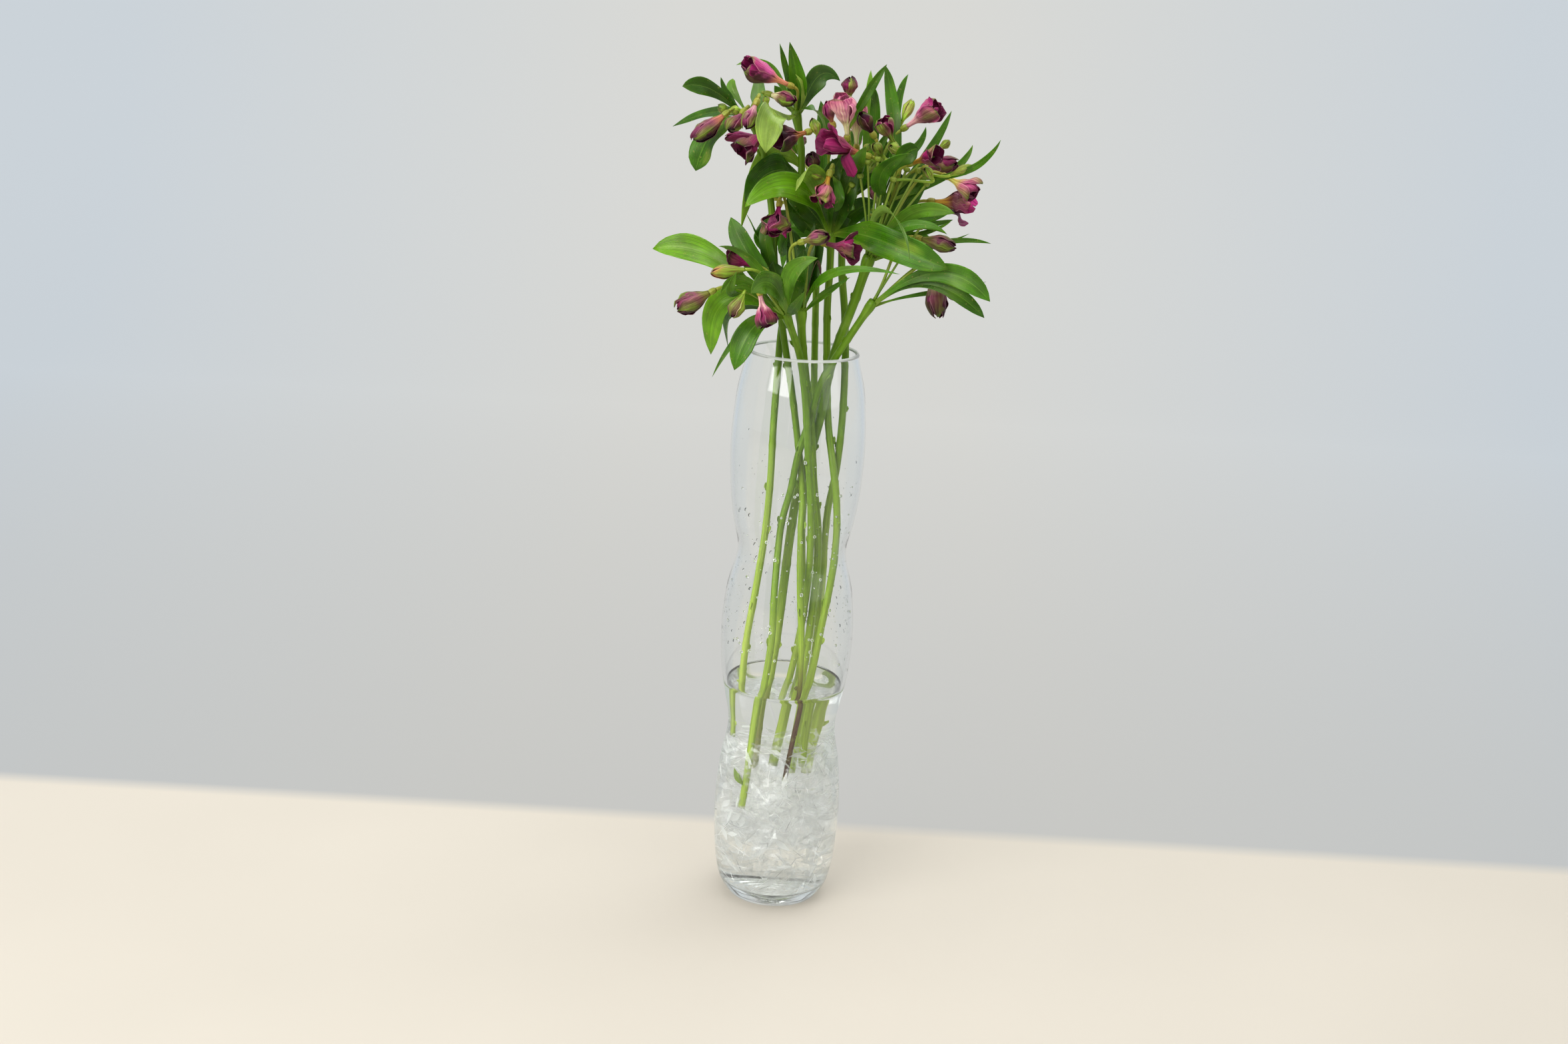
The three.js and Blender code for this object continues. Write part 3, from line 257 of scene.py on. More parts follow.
# The green buds: the bloom whose stalk bears it, how far up that stalk, base, tip, breadth
BUDS = [
    [16, 0.7, [70, 10, 693], [77, 8, 711], 9],
    [8, 0.6, [2, -16, 679], [-4, -20, 693], 9],
    [22, 0.7, [10, -24, 646], [-4, -32, 651], 8],
    [14, 0.7, [55, -6, 666], [47, -12, 676], 9],
    [14, 0.8, [69, -10, 669], [60, -18, 675], 9],
    [15, 0.7, [39, -14, 668], [44, -20, 675], 6],
    [18, 0.7, [102, 16, 672], [111, 14, 679], 7],
    [19, 0.75, [111, 4, 652], [128, 0, 661], 8],
    [17, 0.7, [97, -18, 650], [89, -26, 660], 8],
    [3, 0.6, [-72, -6, 693], [-81, -10, 698], 8],
    [4, 0.6, [-62, -18, 696], [-70, -24, 696], 8],
    [2, 0.7, [-41, -12, 701], [-43, -14, 708], 6],
    [29, 0.75, [96, -28, 595], [87, -34, 599], 8],
    [26, 0.55, [-51, -64, 574], [-78, -74, 571], 11],
    [27, 0.5, [-51, -74, 555], [-59, -84, 538], 13],
]

# The leaves: stem, height of the root (0 for the whorl), two guide points, tip, breadth,
# roll in degrees, outline and colour
LEAVES = [
    [2, 0, [-70, -16, 699], [-86, -24, 720], [-109, -34, 713], 14, 0, "spoon", "deep"],
    [2, 0, [-70, -8, 698], [-77, -4, 708], [-80, 0, 720], 8, 20, "leaf", "deep"],
    [2, 0, [-64, 2, 703], [-75, 8, 712], [-71, 12, 719], 9, -20, "spoon", "grey"],
    [2, 0, [-72, -6, 698], [-92, 4, 694], [-121, 6, 679], 11, 10, "leaf", "deep"],
    [2, 0, [-73, -26, 691], [-90, -34, 683], [-97, -34, 647], 21, 0, "drooping", "patched"],
    [2, 0, [-47, -22, 700], [-50, -24, 713], [-51, -20, 731], 13, 0, "leaf", "mid"],
    [2, 550, [-31, -18, 571], [-37, -24, 588], [-39, -20, 606], 12, 0, "blunt", "deep"],
    [2, 575, [-43, 4, 590], [-49, 10, 600], [-54, 12, 609], 5, 60, "leaf", "mid"],
    [1, 0, [-31, 20, 723], [-45, 16, 741], [-69, 14, 730], 9, 10, "leaf", "grey"],
    [1, 0, [-22, 20, 712], [-28, 20, 726], [-34, 18, 748], 8, 20, "leaf", "mid"],
    [1, 0, [-14, 12, 711], [-19, 6, 727], [-26, 2, 751], 14, 0, "leaf", "mid"],
    [1, 0, [-8, 8, 716], [-2, 0, 741], [17, -4, 725], 18, 20, "leaf", "deep"],
    [1, 0, [-32, -38, 684], [-38, -68, 718], [-39, -64, 667], 20, 0, "drooping", "pale"],
    [1, 0, [-10, -16, 707], [6, -26, 701], [7, -28, 682], 12, -20, "leaf", "mid"],
    [1, 660, [-17, 30, 677], [-20, 34, 682], [-15, 34, 659], 12, 20, "blunt", "deep"],
    [1, 0, [-27, 22, 704], [-33, 24, 709], [-37, 24, 715], 10, 0, "leaf", "mid"],
    [1, 650, [-25, 2, 670], [-49, -10, 670], [-58, -18, 600], 20, 60, "leaf", "lit"],
    [5, 0, [10, -14, 636], [-7, -48, 675], [-14, -60, 638], 19, 0, "blunt", "folded"],
    [5, 0, [6, -24, 637], [-26, -48, 656], [-54, -60, 623], 22, 10, "broad", "lit"],
    [5, 0, [39, -36, 611], [68, -84, 600], [111, -104, 588], 25, 0, "blunt", "patched"],
    [5, 0, [3, 10, 611], [-5, 16, 618], [-21, 18, 629], 22, 0, "leaf", "deep"],
    [3, 0, [-50, -54, 554], [-79, -60, 600], [-130, -68, 584], 22, 0, "spoon", "lit"],
    [3, 0, [-34, -36, 565], [-55, -38, 583], [-66, -34, 611], 18, 0, "blunt", "mid"],
    [3, 0, [-22, -66, 563], [-34, -84, 578], [-44, -94, 560], 19, 10, "blunt", "grey"],
    [3, 0, [-19, -58, 564], [-17, -66, 582], [7, -74, 588], 17, -10, "leaf", "grey"],
    [3, 0, [-12, -64, 544], [-8, -72, 547], [-2, -74, 561], 9, 0, "leaf", "mid"],
    [3, 0, [-52, -64, 560], [-81, -88, 560], [-76, -92, 504], 20, 0, "drooping", "lit"],
    [3, 0, [-54, -48, 547], [-69, -60, 543], [-64, -62, 506], 12, 30, "drooping", "deep"],
    [3, 0, [-32, -66, 538], [-47, -86, 537], [-55, -92, 495], 18, 0, "drooping", "mid"],
    [3, 0, [-38, -40, 535], [-59, -42, 518], [-74, -46, 481], 6, 0, "leaf", "mid"],
    [3, 0, [-34, -34, 560], [-53, -30, 578], [-74, -30, 586], 7, 20, "leaf", "grey"],
    [4, 0, [-2, -30, 564], [0, -30, 586], [3, -30, 611], 10, 0, "leaf", "deep"],
    [4, 0, [-12, -24, 562], [-16, -20, 578], [-18, -18, 602], 9, 20, "leaf", "deep"],
    [4, 0, [1, -52, 564], [16, -70, 589], [72, -86, 581], 8, 0, "leaf", "mid"],
    [4, 0, [6, -44, 549], [18, -54, 560], [34, -60, 572], 6, 10, "leaf", "mid"],
    [7, 0, [32, 6, 649], [33, -8, 661], [40, -10, 672], 14, 0, "leaf", "grey"],
    [7, 0, [22, 10, 642], [18, 4, 651], [14, 2, 660], 12, 0, "leaf", "deep"],
    [7, 0, [51, 24, 676], [42, 26, 708], [43, 26, 734], 12, 0, "leaf", "lit"],
    [6, 0, [58, -20, 647], [67, -30, 673], [82, -34, 675], 15, 0, "stalked", "deep"],
    [6, 0, [69, -16, 615], [82, -28, 635], [113, -36, 626], 13, 0, "blunt", "grey"],
    [6, 0, [46, -10, 644], [72, -100, 634], [78, -114, 596], 9, -30, "leaf", "grey"],
    [6, 0, [60, -44, 610], [87, -54, 627], [109, -60, 611], 9, 0, "leaf", "mid"],
    [8, 0, [74, -52, 571], [111, -66, 600], [146, -78, 562], 18, 0, "spoon", "mid"],
    [8, 0, [84, -56, 579], [113, -66, 576], [143, -74, 548], 12, 0, "spoon", "deep"],
    [9, 0, [21, 54, 648], [37, 68, 676], [39, 74, 693], 14, 0, "leaf", "mid"],
    [9, 0, [39, 74, 636], [61, 88, 659], [80, 92, 648], 16, 20, "leaf", "deep"],
    [9, 0, [-18, 64, 628], [-48, 80, 636], [-60, 88, 611], 16, -20, "leaf", "mid"],
    [9, 0, [9, 64, 658], [6, 74, 685], [2, 76, 702], 14, 0, "leaf", "mid"],
    [9, 0, [34, 80, 623], [60, 100, 605], [63, 102, 574], 18, 0, "leaf", "deep"],
    [9, 0, [-11, 76, 610], [-23, 102, 588], [-23, 104, 552], 18, 0, "leaf", "mid"],
    [9, 590, [10, 58, 600], [16, 76, 604], [22, 82, 617], 14, 0, "leaf", "deep"],
]

# The leaves that fill the middle of the bunch, and the small ones, in the same way
INNER_LEAVES = [
    [5, 0, [11, -14, 621], [9, -20, 644], [21, -16, 663], 17, 0, "blunt", "deep"],
    [5, 0, [24, -8, 622], [27, -12, 644], [36, -10, 662], 17, 0, "broad", "deep"],
    [5, 0, [5, 0, 612], [-8, 0, 625], [-20, 2, 633], 21, 0, "blunt", "deep"],
    [1, 640, [-25, 4, 653], [-41, -4, 653], [-55, -8, 622], 22, 0, "broad", "deep"],
    [5, 585, [0, 8, 600], [-13, 10, 614], [-21, 10, 625], 17, 0, "blunt", "deep"],
    [1, 615, [-26, 4, 612], [-36, -4, 605], [-37, -8, 579], 19, 0, "drooping", "deep"],
    [5, 590, [-12, -8, 605], [-22, -14, 600], [-23, -14, 578], 14, 0, "drooping", "mid"],
    [4, 0, [-6, -14, 558], [-9, -10, 580], [-15, -8, 601], 17, 0, "broad", "deep"],
    [4, 0, [1, -16, 555], [4, -12, 578], [7, -8, 600], 15, 0, "blunt", "deep"],
    [6, 0, [67, 4, 612], [85, 10, 635], [89, 12, 654], 19, 0, "blunt", "mid"],
    [6, 0, [69, -6, 604], [91, -6, 624], [114, -8, 623], 14, 0, "blunt", "mid"],
    [7, 0, [38, 10, 639], [41, 4, 647], [44, 0, 658], 9, 0, "leaf", "mid"],
    [7, 618, [40, 0, 626], [29, -8, 628], [20, -14, 615], 12, 0, "drooping", "lit"],
    [7, 605, [30, 8, 621], [23, 4, 611], [21, 2, 589], 19, 0, "drooping", "deep"],
    [6, 0, [63, -18, 604], [82, -22, 623], [111, -24, 607], 10, 0, "leaf", "grey"],
    [6, 0, [68, -4, 591], [92, -2, 609], [100, -4, 585], 15, 0, "drooping", "mid"],
    [6, 0, [62, 14, 605], [73, 20, 627], [73, 22, 649], 19, 0, "blunt", "deep"],
    [7, 0, [48, 26, 642], [55, 28, 656], [59, 28, 675], 14, 0, "blunt", "deep"],
    [5, 0, [24, 14, 609], [35, 16, 616], [51, 14, 627], 19, 0, "blunt", "deep"],
    [6, 0, [56, 0, 593], [68, 4, 596], [82, 2, 580], 17, 0, "drooping", "deep"],
    [4, 0, [-12, -20, 548], [-25, -18, 558], [-30, -16, 575], 17, 0, "blunt", "deep"],
    [3, 0, [-14, -34, 548], [-7, -30, 569], [-4, -28, 590], 14, 0, "broad", "deep"],
    [6, 0, [74, -16, 604], [98, -18, 604], [114, -22, 617], 5, 0, "leaf", "mid"],
    [6, 0, [76, -14, 590], [104, -10, 592], [131, -12, 607], 4, 10, "leaf", "mid"],
    [8, 0, [86, -44, 562], [118, -36, 560], [147, -24, 570], 4, 0, "leaf", "mid"],
    [1, 0, [-12, 8, 708], [-9, 6, 716], [-20, 2, 726], 5, 20, "leaf", "pale"],
    [3, 0, [-42, -58, 560], [-58, -66, 578], [-69, -78, 556], 9, 0, "blunt", "grey"],
    [3, 0, [-38, -56, 552], [-48, -64, 566], [-62, -72, 558], 7, 20, "leaf", "grey"],
    [3, 0, [-34, -44, 566], [-50, -54, 592], [-73, -62, 591], 7, 10, "leaf", "grey"],
    [8, 113, [-32, -31, 117], [-36, -32, 122], [-38, -32, 129], 6, 0, "leaf", "pale"],
    [8, 113, [-31, -32, 116], [-33, -33, 120], [-33, -33, 125], 5, 40, "leaf", "pale"],
    [4, 0, [4, -46, 590], [9, -51, 590], [11, -52, 568], 6, 0, "stalked", "dead"],
    [7, 0, [40, 10, 650], [52, 0, 668], [62, -6, 690], 9, 0, "leaf", "grey"],
]

# The bare rays of the umbels, whose flowers have dropped: stem and end
RAYS = [
    [6, [43, -24, 660]], [6, [51, -26, 663]], [6, [59, -24, 662]], [6, [68, -18, 664]], [6, [75, -12, 655]],
    [6, [84, -16, 655]], [7, [52, -4, 664]], [5, [31, -12, 640]], [6, [38, -18, 648]], [6, [55, -8, 650]],
    [6, [64, -32, 648]], [6, [80, -4, 668]], [6, [92, -8, 644]], [7, [46, 4, 652]], [8, [88, -38, 612]],
]

# The bracts: the bloom whose stalk bears it, how far up that stalk, guide point, tip, breadth
BRACTS = [
    [22, 0.6, [26, -42, 632], [19, -48, 622], 9],
    [27, 0.55, [-68, -92, 552], [-56, -98, 577], 8],
    [9, 0.7, [40, 6, 716], [54, 4, 738], 8],
    [13, 0.6, [48, 10, 702], [45, 6, 720], 9],
    [14, 0.65, [63, 12, 709], [53, 10, 737], 12],
    [14, 0.5, [60, 32, 708], [73, 30, 730], 8],
    [14, 0.4, [39, -46, 658], [75, -62, 673], 15],
    [18, 0.6, [98, 16, 668], [111, 24, 703], 8],
    [16, 0.6, [90, 32, 666], [91, 34, 688], 7],
    [19, 0.7, [136, 2, 651], [146, 0, 682], 6],
    [18, 0.5, [125, 14, 652], [130, 14, 677], 7],
    [20, 0.4, [104, 10, 609], [118, 10, 615], 5],
    [29, 0.5, [116, -16, 607], [149, -14, 600], 5],
]


def tint(code):
    """The linear colour of a six-digit hex code"""
    value = np.array([int(code[k:k + 2], 16) for k in (0, 2, 4)]) / 255
    return np.where(value < 0.04045, value / 12.92, ((value + 0.055) / 1.055) ** 2.4)


TINTS = {name: tint(code) for name, code in {
    "cream": "f8e2b8", "butter": "ecd47c", "gold": "c99a40", "tan": "c48450", "salmon": "f2a07e",
    "blush": "f4b4bc", "rose": "dc749c", "pink": "d25c9c", "bright": "cc3a90", "magenta": "a4266c",
    "purple": "731848", "plum": "4f1630", "dark": "2c0818", "green": "8ea040", "lime": "a9c04c",
    "moss": "5f8028", "dusk": "a85c78", "wine": "8c2052", "olive": "a09a50",
}.items()}

# The colours of each bloom: base, body, tip, green along the keels, and painted shade underneath, where the
# tepals face down
BLOOM_LOOKS = [
    ["salmon", "pink", "magenta", 0.1, 1], ["cream", "wine", "purple", 0.8, 1],
    ["salmon", "dusk", "purple", 0.8, 1], ["dusk", "wine", "dark", 0.7, 0.9],
    ["blush", "dusk", "purple", 0.9, 0.9], ["dusk", "magenta", "dark", 0.3, 0.7],
    ["pink", "bright", "magenta", 0.1, 0.3], ["tan", "plum", "dark", 0.1, 0.5],
    ["green", "magenta", "dark", 0.7, 0.5], ["salmon", "pink", "magenta", 0.4, 0.4],
    ["cream", "blush", "rose", 0.1, 0], ["cream", "blush", "rose", 0.2, 0.1],
    ["plum", "purple", "dark", 0.4, 0.6], ["green", "magenta", "purple", 0.8, 0.5],
    ["tan", "magenta", "magenta", 0.2, 0.5], ["blush", "pink", "magenta", 0.3, 0.8],
    ["gold", "magenta", "plum", 0.4, 0.6], ["dusk", "magenta", "purple", 0.5, 0.6],
    ["butter", "rose", "purple", 0.5, 0.4], ["gold", "plum", "bright", 0.2, 0.4],
    ["plum", "purple", "dark", 0.2, 0.5], ["gold", "rose", "magenta", 0.8, 0.5],
    ["magenta", "plum", "magenta", 0.5, 0.5], ["olive", "dusk", "plum", 0.9, 0.7],
    ["dusk", "magenta", "purple", 0.3, 0.5], ["magenta", "purple", "dark", 0.1, 0.4],
    ["olive", "dusk", "purple", 0.8, 0.9], ["blush", "wine", "dark", 0.1, 0.5],
    ["olive", "dusk", "plum", 0.8, 0.5], ["cream", "plum", "dark", 0.3, 0.4],
    ["butter", "plum", "dark", 0.3, 0.3], ["salmon", "magenta", "purple", 0.3, 0.4],
    ["cream", "dusk", "purple", 0.5, 0.5], ["salmon", "pink", "purple", 0.3, 0.4],
    ["cream", "pink", "magenta", 0.3, 0.3], ["green", "dusk", "purple", 0.6, 0.5],
]

# How much longer and wider a bloom is drawn than the room kept for it
BLOOM_SIZE = 0.94
BLOOM_SIZES = {
    1: 1.02, 3: 0.9, 6: 1.05, 11: 1.3, 12: 1.1, 15: 1.12, 16: 0.9, 24: 0.88, 27: 0.88, 30: 1.15,
    31: 1.2, 32: 0.88,
}

# The upper side, underside and share of pale patches of each colour of leaf; lit is a lighter copy of the
# green with painted light, and deep a darker copy with painted shade, for leaves in the light and in shade
LEAF_LOOKS = {
    "deep": [tint("305a02"), tint("6c8c2c"), 0.1],
    "mid": [tint("427204"), tint("7c9c36"), 0.15],
    "lit": [tint("608e0c"), tint("88a63c"), 0.2],
    "grey": [tint("5a8226"), tint("84a050"), 0.15],
    "pale": [tint("92ac50"), tint("9cb460"), 0.2],
    "patched": [tint("3e7004"), tint("7c9c36"), 0.9],
    "folded": [tint("7ca23a"), tint("a4bc62"), 0.3],
    "dead": [tint("5a1c44"), tint("6c3050"), 0],
}
STALK_TINT = tint("86a83c")
RAY_TINT = tint("6c902c")
CUT_TINT = tint("d8e0b8")
UPPER_STEM = [tint("5c8208"), tint("789c1c")]
LOWER_STEM = [tint("9cb63a"), tint("bccf64")]
WHITE = (1, 1, 1)

# The floor and the backdrop: two colours of the floor, and where the backdrop begins and how it glows
PAPER_DARK = (0.65, 0.605, 0.53)
PAPER_LIGHT = (0.7, 0.65, 0.57)
BACKDROP_START = (0.125, 0.15)
BACKDROP_MIDDLE = (0.54, 0.54, 0.52)
BACKDROP_SIDES = (0.47, 0.51, 0.545)
STAGE_HALF = 3500
STAGE_FRONT = -2600
BEND_START = 2000
BEND = 600
STAGE_TOP = 4200
STAGE_DROP = 0.2

# The lights: place, size, power and colour, in metres and watts
LIGHT_TARGET = (0, 0, 0.5)
LIGHTS = {
    "window_left": [(-1.75, -1.3, 1.7), (0.9, 1.9), 18, (1, 0.99, 0.97)],
    "window_right": [(-1.1, -1.9, 1.7), (0.9, 1.9), 18, (1, 0.99, 0.97)],
    "fill": [(1.9, -1.2, 1.1), (1.4, 1.4), 4, (0.97, 0.98, 1)],
    "sky": [(0.1, 0.2, 2.6), (1.6, 1.6), 16, (1, 1, 1)],
    "behind": [(0.7, 0.8, 1.7), (1.0, 1.0), 4, (1, 1, 0.98)],
}
# How often light is followed through the glass, the water and the film
BOUNCES = {
    "max_bounces": 24, "diffuse_bounces": 6, "glossy_bounces": 10, "transmission_bounces": 24,
    "transparent_max_bounces": 64,
}

UP = np.array([0.0, 0.0, 1.0])
FRONT = np.array([0, -1, 0.25]) / math.hypot(1, 0.25)


# Curves: each is a function from shares of the way along it to points

def unit(vector):
    return vector / np.linalg.norm(vector, axis=-1, keepdims=True)


def mix(first, second, share):
    return first + (second - first) * share


def smooth(value, low, high):
    """0 up to low, 1 from high on, and an even step between"""
    share = np.clip((value - low) / (high - low), 0, 1)
    return share * share * (3 - 2 * share)


def round_angles(count):
    return 2 * np.pi * np.arange(count) / count


def bezier(*guides):
    points = np.array(guides, float)
    order = len(points) - 1

    def curve(share):
        share = np.asarray(share, float)[..., None]
        return sum(math.comb(order, k) * (1 - share) ** (order - k) * share ** k * points[k]
                   for k in range(order + 1))
    return curve


def through(points):
    """A smooth curve through every point"""
    points = np.array(points, float)
    whole = np.vstack([2 * points[0] - points[1], points, 2 * points[-1] - points[-2]])
    spans = len(points) - 1

    def curve(share):
        place = np.asarray(share, float) * spans
        low = np.clip(np.floor(place).astype(int), 0, spans - 1)
        step = (place - low)[..., None]
        before, start, end, after = (whole[low + k] for k in range(4))
        bend = 2 * before - 5 * start + 4 * end - after + step * (3 * (start - end) + after - before)
        return start + 0.5 * step * (end - before + step * bend)
    return curve


def tangent(curve, share):
    share = np.asarray(share, float)
    return unit(curve(np.minimum(share + 1e-4, 1)) - curve(np.maximum(share - 1e-4, 0)))


def run_of(points):
    """How far along a line of points each one is"""
    return np.concatenate([[0], np.cumsum(np.linalg.norm(np.diff(points, axis=0), axis=1))])


def lengths_of(curve):
    shares = np.linspace(0, 1, 201)
    return shares, run_of(curve(shares))


def eased(shares, values):
    """A smooth function through the values at those shares, which doesn't overshoot"""
    x = np.array(shares, float)
    y = np.array(values, float)
    slope = np.diff(y) / np.diff(x)
    both = slope[:-1] * slope[1:]
    inner = np.divide(2 * both, slope[:-1] + slope[1:], out=np.zeros(len(both)), where=both > 0)
    grade = np.concatenate([slope[:1], inner, slope[-1:]])

    def value(at):
        k = np.clip(np.searchsorted(x, at, side="right") - 1, 0, len(x) - 2)
        span = x[k + 1] - x[k]
        t = (np.clip(at, x[0], x[-1]) - x[k]) / span
        start = y[k] * (1 + 2 * t) * (1 - t) ** 2 + grade[k] * span * t * (1 - t) ** 2
        return start + y[k + 1] * t * t * (3 - 2 * t) + grade[k + 1] * span * t * t * (t - 1)
    return value


def across(axis):
    """Two directions across an axis, by the shortest turn from +Z"""
    a, b, c = axis
    first = np.array([1 - a * a / (1 + c), -a * b / (1 + c), -a])
    second = np.array([-a * b / (1 + c), 1 - b * b / (1 + c), -b])
    return first, second


def frames_along(curve, roll=0, steps=FRAME_STEPS):
    """Points, sides and ups carried along a curve without twisting, facing the front at the root"""
    shares = np.arange(steps + 1) / steps
    points = curve(shares)
    ways = tangent(curve, shares)
    side = np.cross(points[-1] - points[0], FRONT)
    sides = []
    for way in ways:
        side = unit(side - way * side.dot(way))
        if not sides:
            side = side * math.cos(math.radians(roll)) + np.cross(way, side) * math.sin(math.radians(roll))
        sides.append(side)
    sides = np.array(sides)
    return points, sides, unit(np.cross(sides, ways))


def frames_at(frames, shares):
    """Frames at any shares, between those carried along the curve"""
    known = np.linspace(0, 1, len(frames[0]))
    points, sides, ups = (
        np.column_stack([np.interp(shares, known, part[:, k]) for k in range(3)]) for part in frames
    )
    return points, unit(sides), unit(ups)


# Room: what is placed is kept as balls, so that a later shoot can lean clear of it

placed = []


def balls_along(curve, radius):
    shares, lengths = lengths_of(curve)
    count = max(2, math.ceil(lengths[-1] / 3))
    points = curve(np.interp(np.arange(count + 1) / count * lengths[-1], lengths, shares))
    return np.column_stack([points, np.full(len(points), radius)])


def balls_over(point_at, length, start, half):
    along = math.ceil(length / BALL_SPACING)
    wide = max(1, math.floor(half / BALL_SPACING + 0.5))
    shares = start + (1 - start) * np.arange(along + 1) / along
    share, way = np.meshgrid(shares, np.arange(-wide, wide + 1) / wide, indexing="ij")
    points = point_at(share.ravel(), way.ravel())
    return np.column_stack([points, np.full(len(points), BALL_RADIUS)])


def reach_of(balls):
    low = (balls[:, :3] - balls[:, 3:] - CLEAR_GAP).min(axis=0)
    return low, (balls[:, :3] + balls[:, 3:]).max(axis=0)


def balls_meet(balls, others):
    apart = ((balls[:, None, :3] - others[None, :, :3]) ** 2).sum(axis=-1)
    room = balls[:, None, 3] + others[None, :, 3] + CLEAR_GAP
    return bool((apart < room * room).any())


def is_clear(part, apart):
    """Whether a part is clear of other stems and blooms, and of its own stem where apart asks"""
    low, high = reach_of(part["balls"])
    for other in placed:
        if (low > other["reach"][1]).any() or (high < other["reach"][0]).any():
            continue
        own = other["owner"] == part["owner"]
        if own and not apart:
            continue
        if balls_meet(part["free"] if own else part["balls"], other["balls"]):
            return False
    return True


def place(part):
    placed.append({"owner": part["owner"], "balls": part["balls"], "reach": reach_of(part["balls"])})


def lean_clear(shoot_at, tries=(False,)):
    """Leans a shoot forward and back, a little more each time, until all its parts are clear

    A try that is true keeps them apart from their own stem too. A shoot that finds no room is
    left upright.
    """
    for apart in tries:
        for lean in range(0, LEAN_LIMIT + 1, LEAN_STEP):
            for way in (-lean, lean):
                parts = shoot_at(way)
                if all(is_clear(part, apart) for part in parts):
                    for part in parts:
                        place(part)
                    return parts
    return shoot_at(0)


def leaned(point, lean):
    return np.array([point[0], point[1] + lean, point[2] - LEAN_DROP * lean], float)


# Shoots: where each stalk, bloom, bud, leaf and bract goes

curves = [through(points) for _, points in STEMS]


def whorl_of(number):
    curve = curves[number - 1]
    return curve(0.0), -tangent(curve, 0.0)


def root_to(number, target, drop=0):
    """Where a shoot leaves the whorl: on its own side, a little below or above the middle"""
    start, rise = whorl_of(number)
    out = target - start
    out = unit(out - rise * out.dot(rise))
    return start + out * WHORL_RADIUS - rise * drop


def point_at_height(curve, height):
    share = 0.0
    while share < 1 and curve(share)[2] > height:
        share += 0.002
    return curve(share)


def stalk_curve(start, rise, end, axis):
    span = math.dist(start, end)
    leave = mix(start, end, 0.3) + rise * (0.12 * span)
    return bezier(start, leave, end - axis * (0.3 * span), end)


def carrier(number, base, axis):
    """The stalk and ovary below a bloom"""
    top = base - axis * SEAT_GAP
    foot = top - axis * OVARY_HEIGHT
    curve = stalk_curve(root_to(number, foot), whorl_of(number)[1], foot, axis)
    middle = np.array([*mix(foot, top, 0.5), 0.6 * OVARY_BREADTH])
    balls = np.vstack([balls_along(curve, STALK_RADIUS), middle])
    return {"owner": f"stem_{number}", "balls": balls, "curve": curve, "foot": foot, "top": top}


Tepal = namedtuple("Tepal", "base axis out form length spread half inner")


def tepal_middle(tepal, share):
    """The middle of a tepal at shares of its length, and how far out from the bloom's axis it is"""
    form = FORMS[tepal.form]
    along = tepal.length * share * (1 + form.turn_back * share * (1 - 1.4 * share))
    radius = (CUP_RADIUS + tepal.spread * form.opening(share)) * (INNER_SHARE if tepal.inner else 1)
    return CUP_HEIGHT * (1 - share) + along, radius


def tepal_room(tepal):
    side = np.cross(tepal.out, tepal.axis)

    def point_at(share, way):
        height, radius = tepal_middle(tepal, share)
        wide = np.minimum(tepal.half, 0.6 * radius + 0.4 if tepal.inner else 0.95 * radius)
        out = radius[:, None] * tepal.out
        return tepal.base + height[:, None] * tepal.axis + out + (way * wide)[:, None] * side
    return point_at


def draws(seed):
    state = seed
    while True:
        state = state * 16807 % 2147483647
        yield state / 2147483647


def bloom_room(name, form, base, tip, breadth, turn, draw):
    length = math.dist(base, tip)
    axis = (tip - base) / length
    first, second = across(axis)
    tepals = []
    if form == "closed":
        balls = [balls_along(bezier(mix(base, tip, 0.15), tip), 0.5 * breadth), [*base, 0.2 * breadth]]
    else:
        balls = [balls_along(bezier(base, mix(base, tip, 0.3)), CUP_RADIUS)]
        for k in range(6):
            inner = k % 2 == 1
            angle = math.radians(turn) + math.pi / 3 * k
            out = first * math.cos(angle) + second * math.sin(angle)
            reach = length * (0.93 + 0.12 * next(draw))
            spread = max(2, 0.5 * breadth - CUP_RADIUS) * (0.95 + 0.14 * next(draw))
            half = min(7, 0.17 * length + 1) if inner else min(10, 0.25 * length + 1)
            tepals.append(Tepal(base, axis, out, form, reach, spread, half, inner))
            balls.append(balls_over(tepal_room(tepals[-1]), length, 0.25, half))
    return {"owner": name, "balls": np.vstack(balls), "tepals": tepals, "base": base, "tip": tip}


def bloom_shoot(i, number, form, base, tip, breadth, turn):
    def shoot_at(lean):
        foot = leaned(base, lean)
        end = leaned(tip, lean)
        bloom = bloom_room(f"bloom_{i:02d}", form, foot, end, breadth, turn, draws(BLOOM_SEED * i))
        return [bloom, carrier(number, foot, unit(end - foot))]
    return shoot_at


def bud_shoot(blooms, bloom, share, base, tip, breadth):
    stalk = blooms[bloom - 1][1]["curve"]
    owner = f"stem_{BLOOMS[bloom - 1][0]}"

    def shoot_at(lean):
        foot = leaned(base, lean)
        end = leaned(tip, lean)
        curve = stalk_curve(stalk(share), tangent(stalk, share), foot, unit(end - foot))
        balls = np.vstack([balls_along(curve, STALK_RADIUS), balls_along(bezier(foot, end), breadth / 2)])
        return [{"owner": owner, "balls": balls, "curve": curve, "base": foot, "tip": end}]
    return shoot_at


def blade_room(curve, breadth, roll):
    points, sides, ups = frames_along(curve, roll)

    def point_at(share, way):
        k = np.floor(share * FRAME_STEPS + 0.5).astype(int)
        half = 0.5 * breadth * np.minimum(1, np.minimum(3.2 * share, 4.5 * (1 - share)))
        edge = points[k] + sides[k] * (way * half)[:, None]
        return edge + ups[k] * (LEAF_FOLD * half * np.abs(way))[:, None]
    return balls_over(point_at, lengths_of(curve)[1][-1], 0.12, breadth / 2)


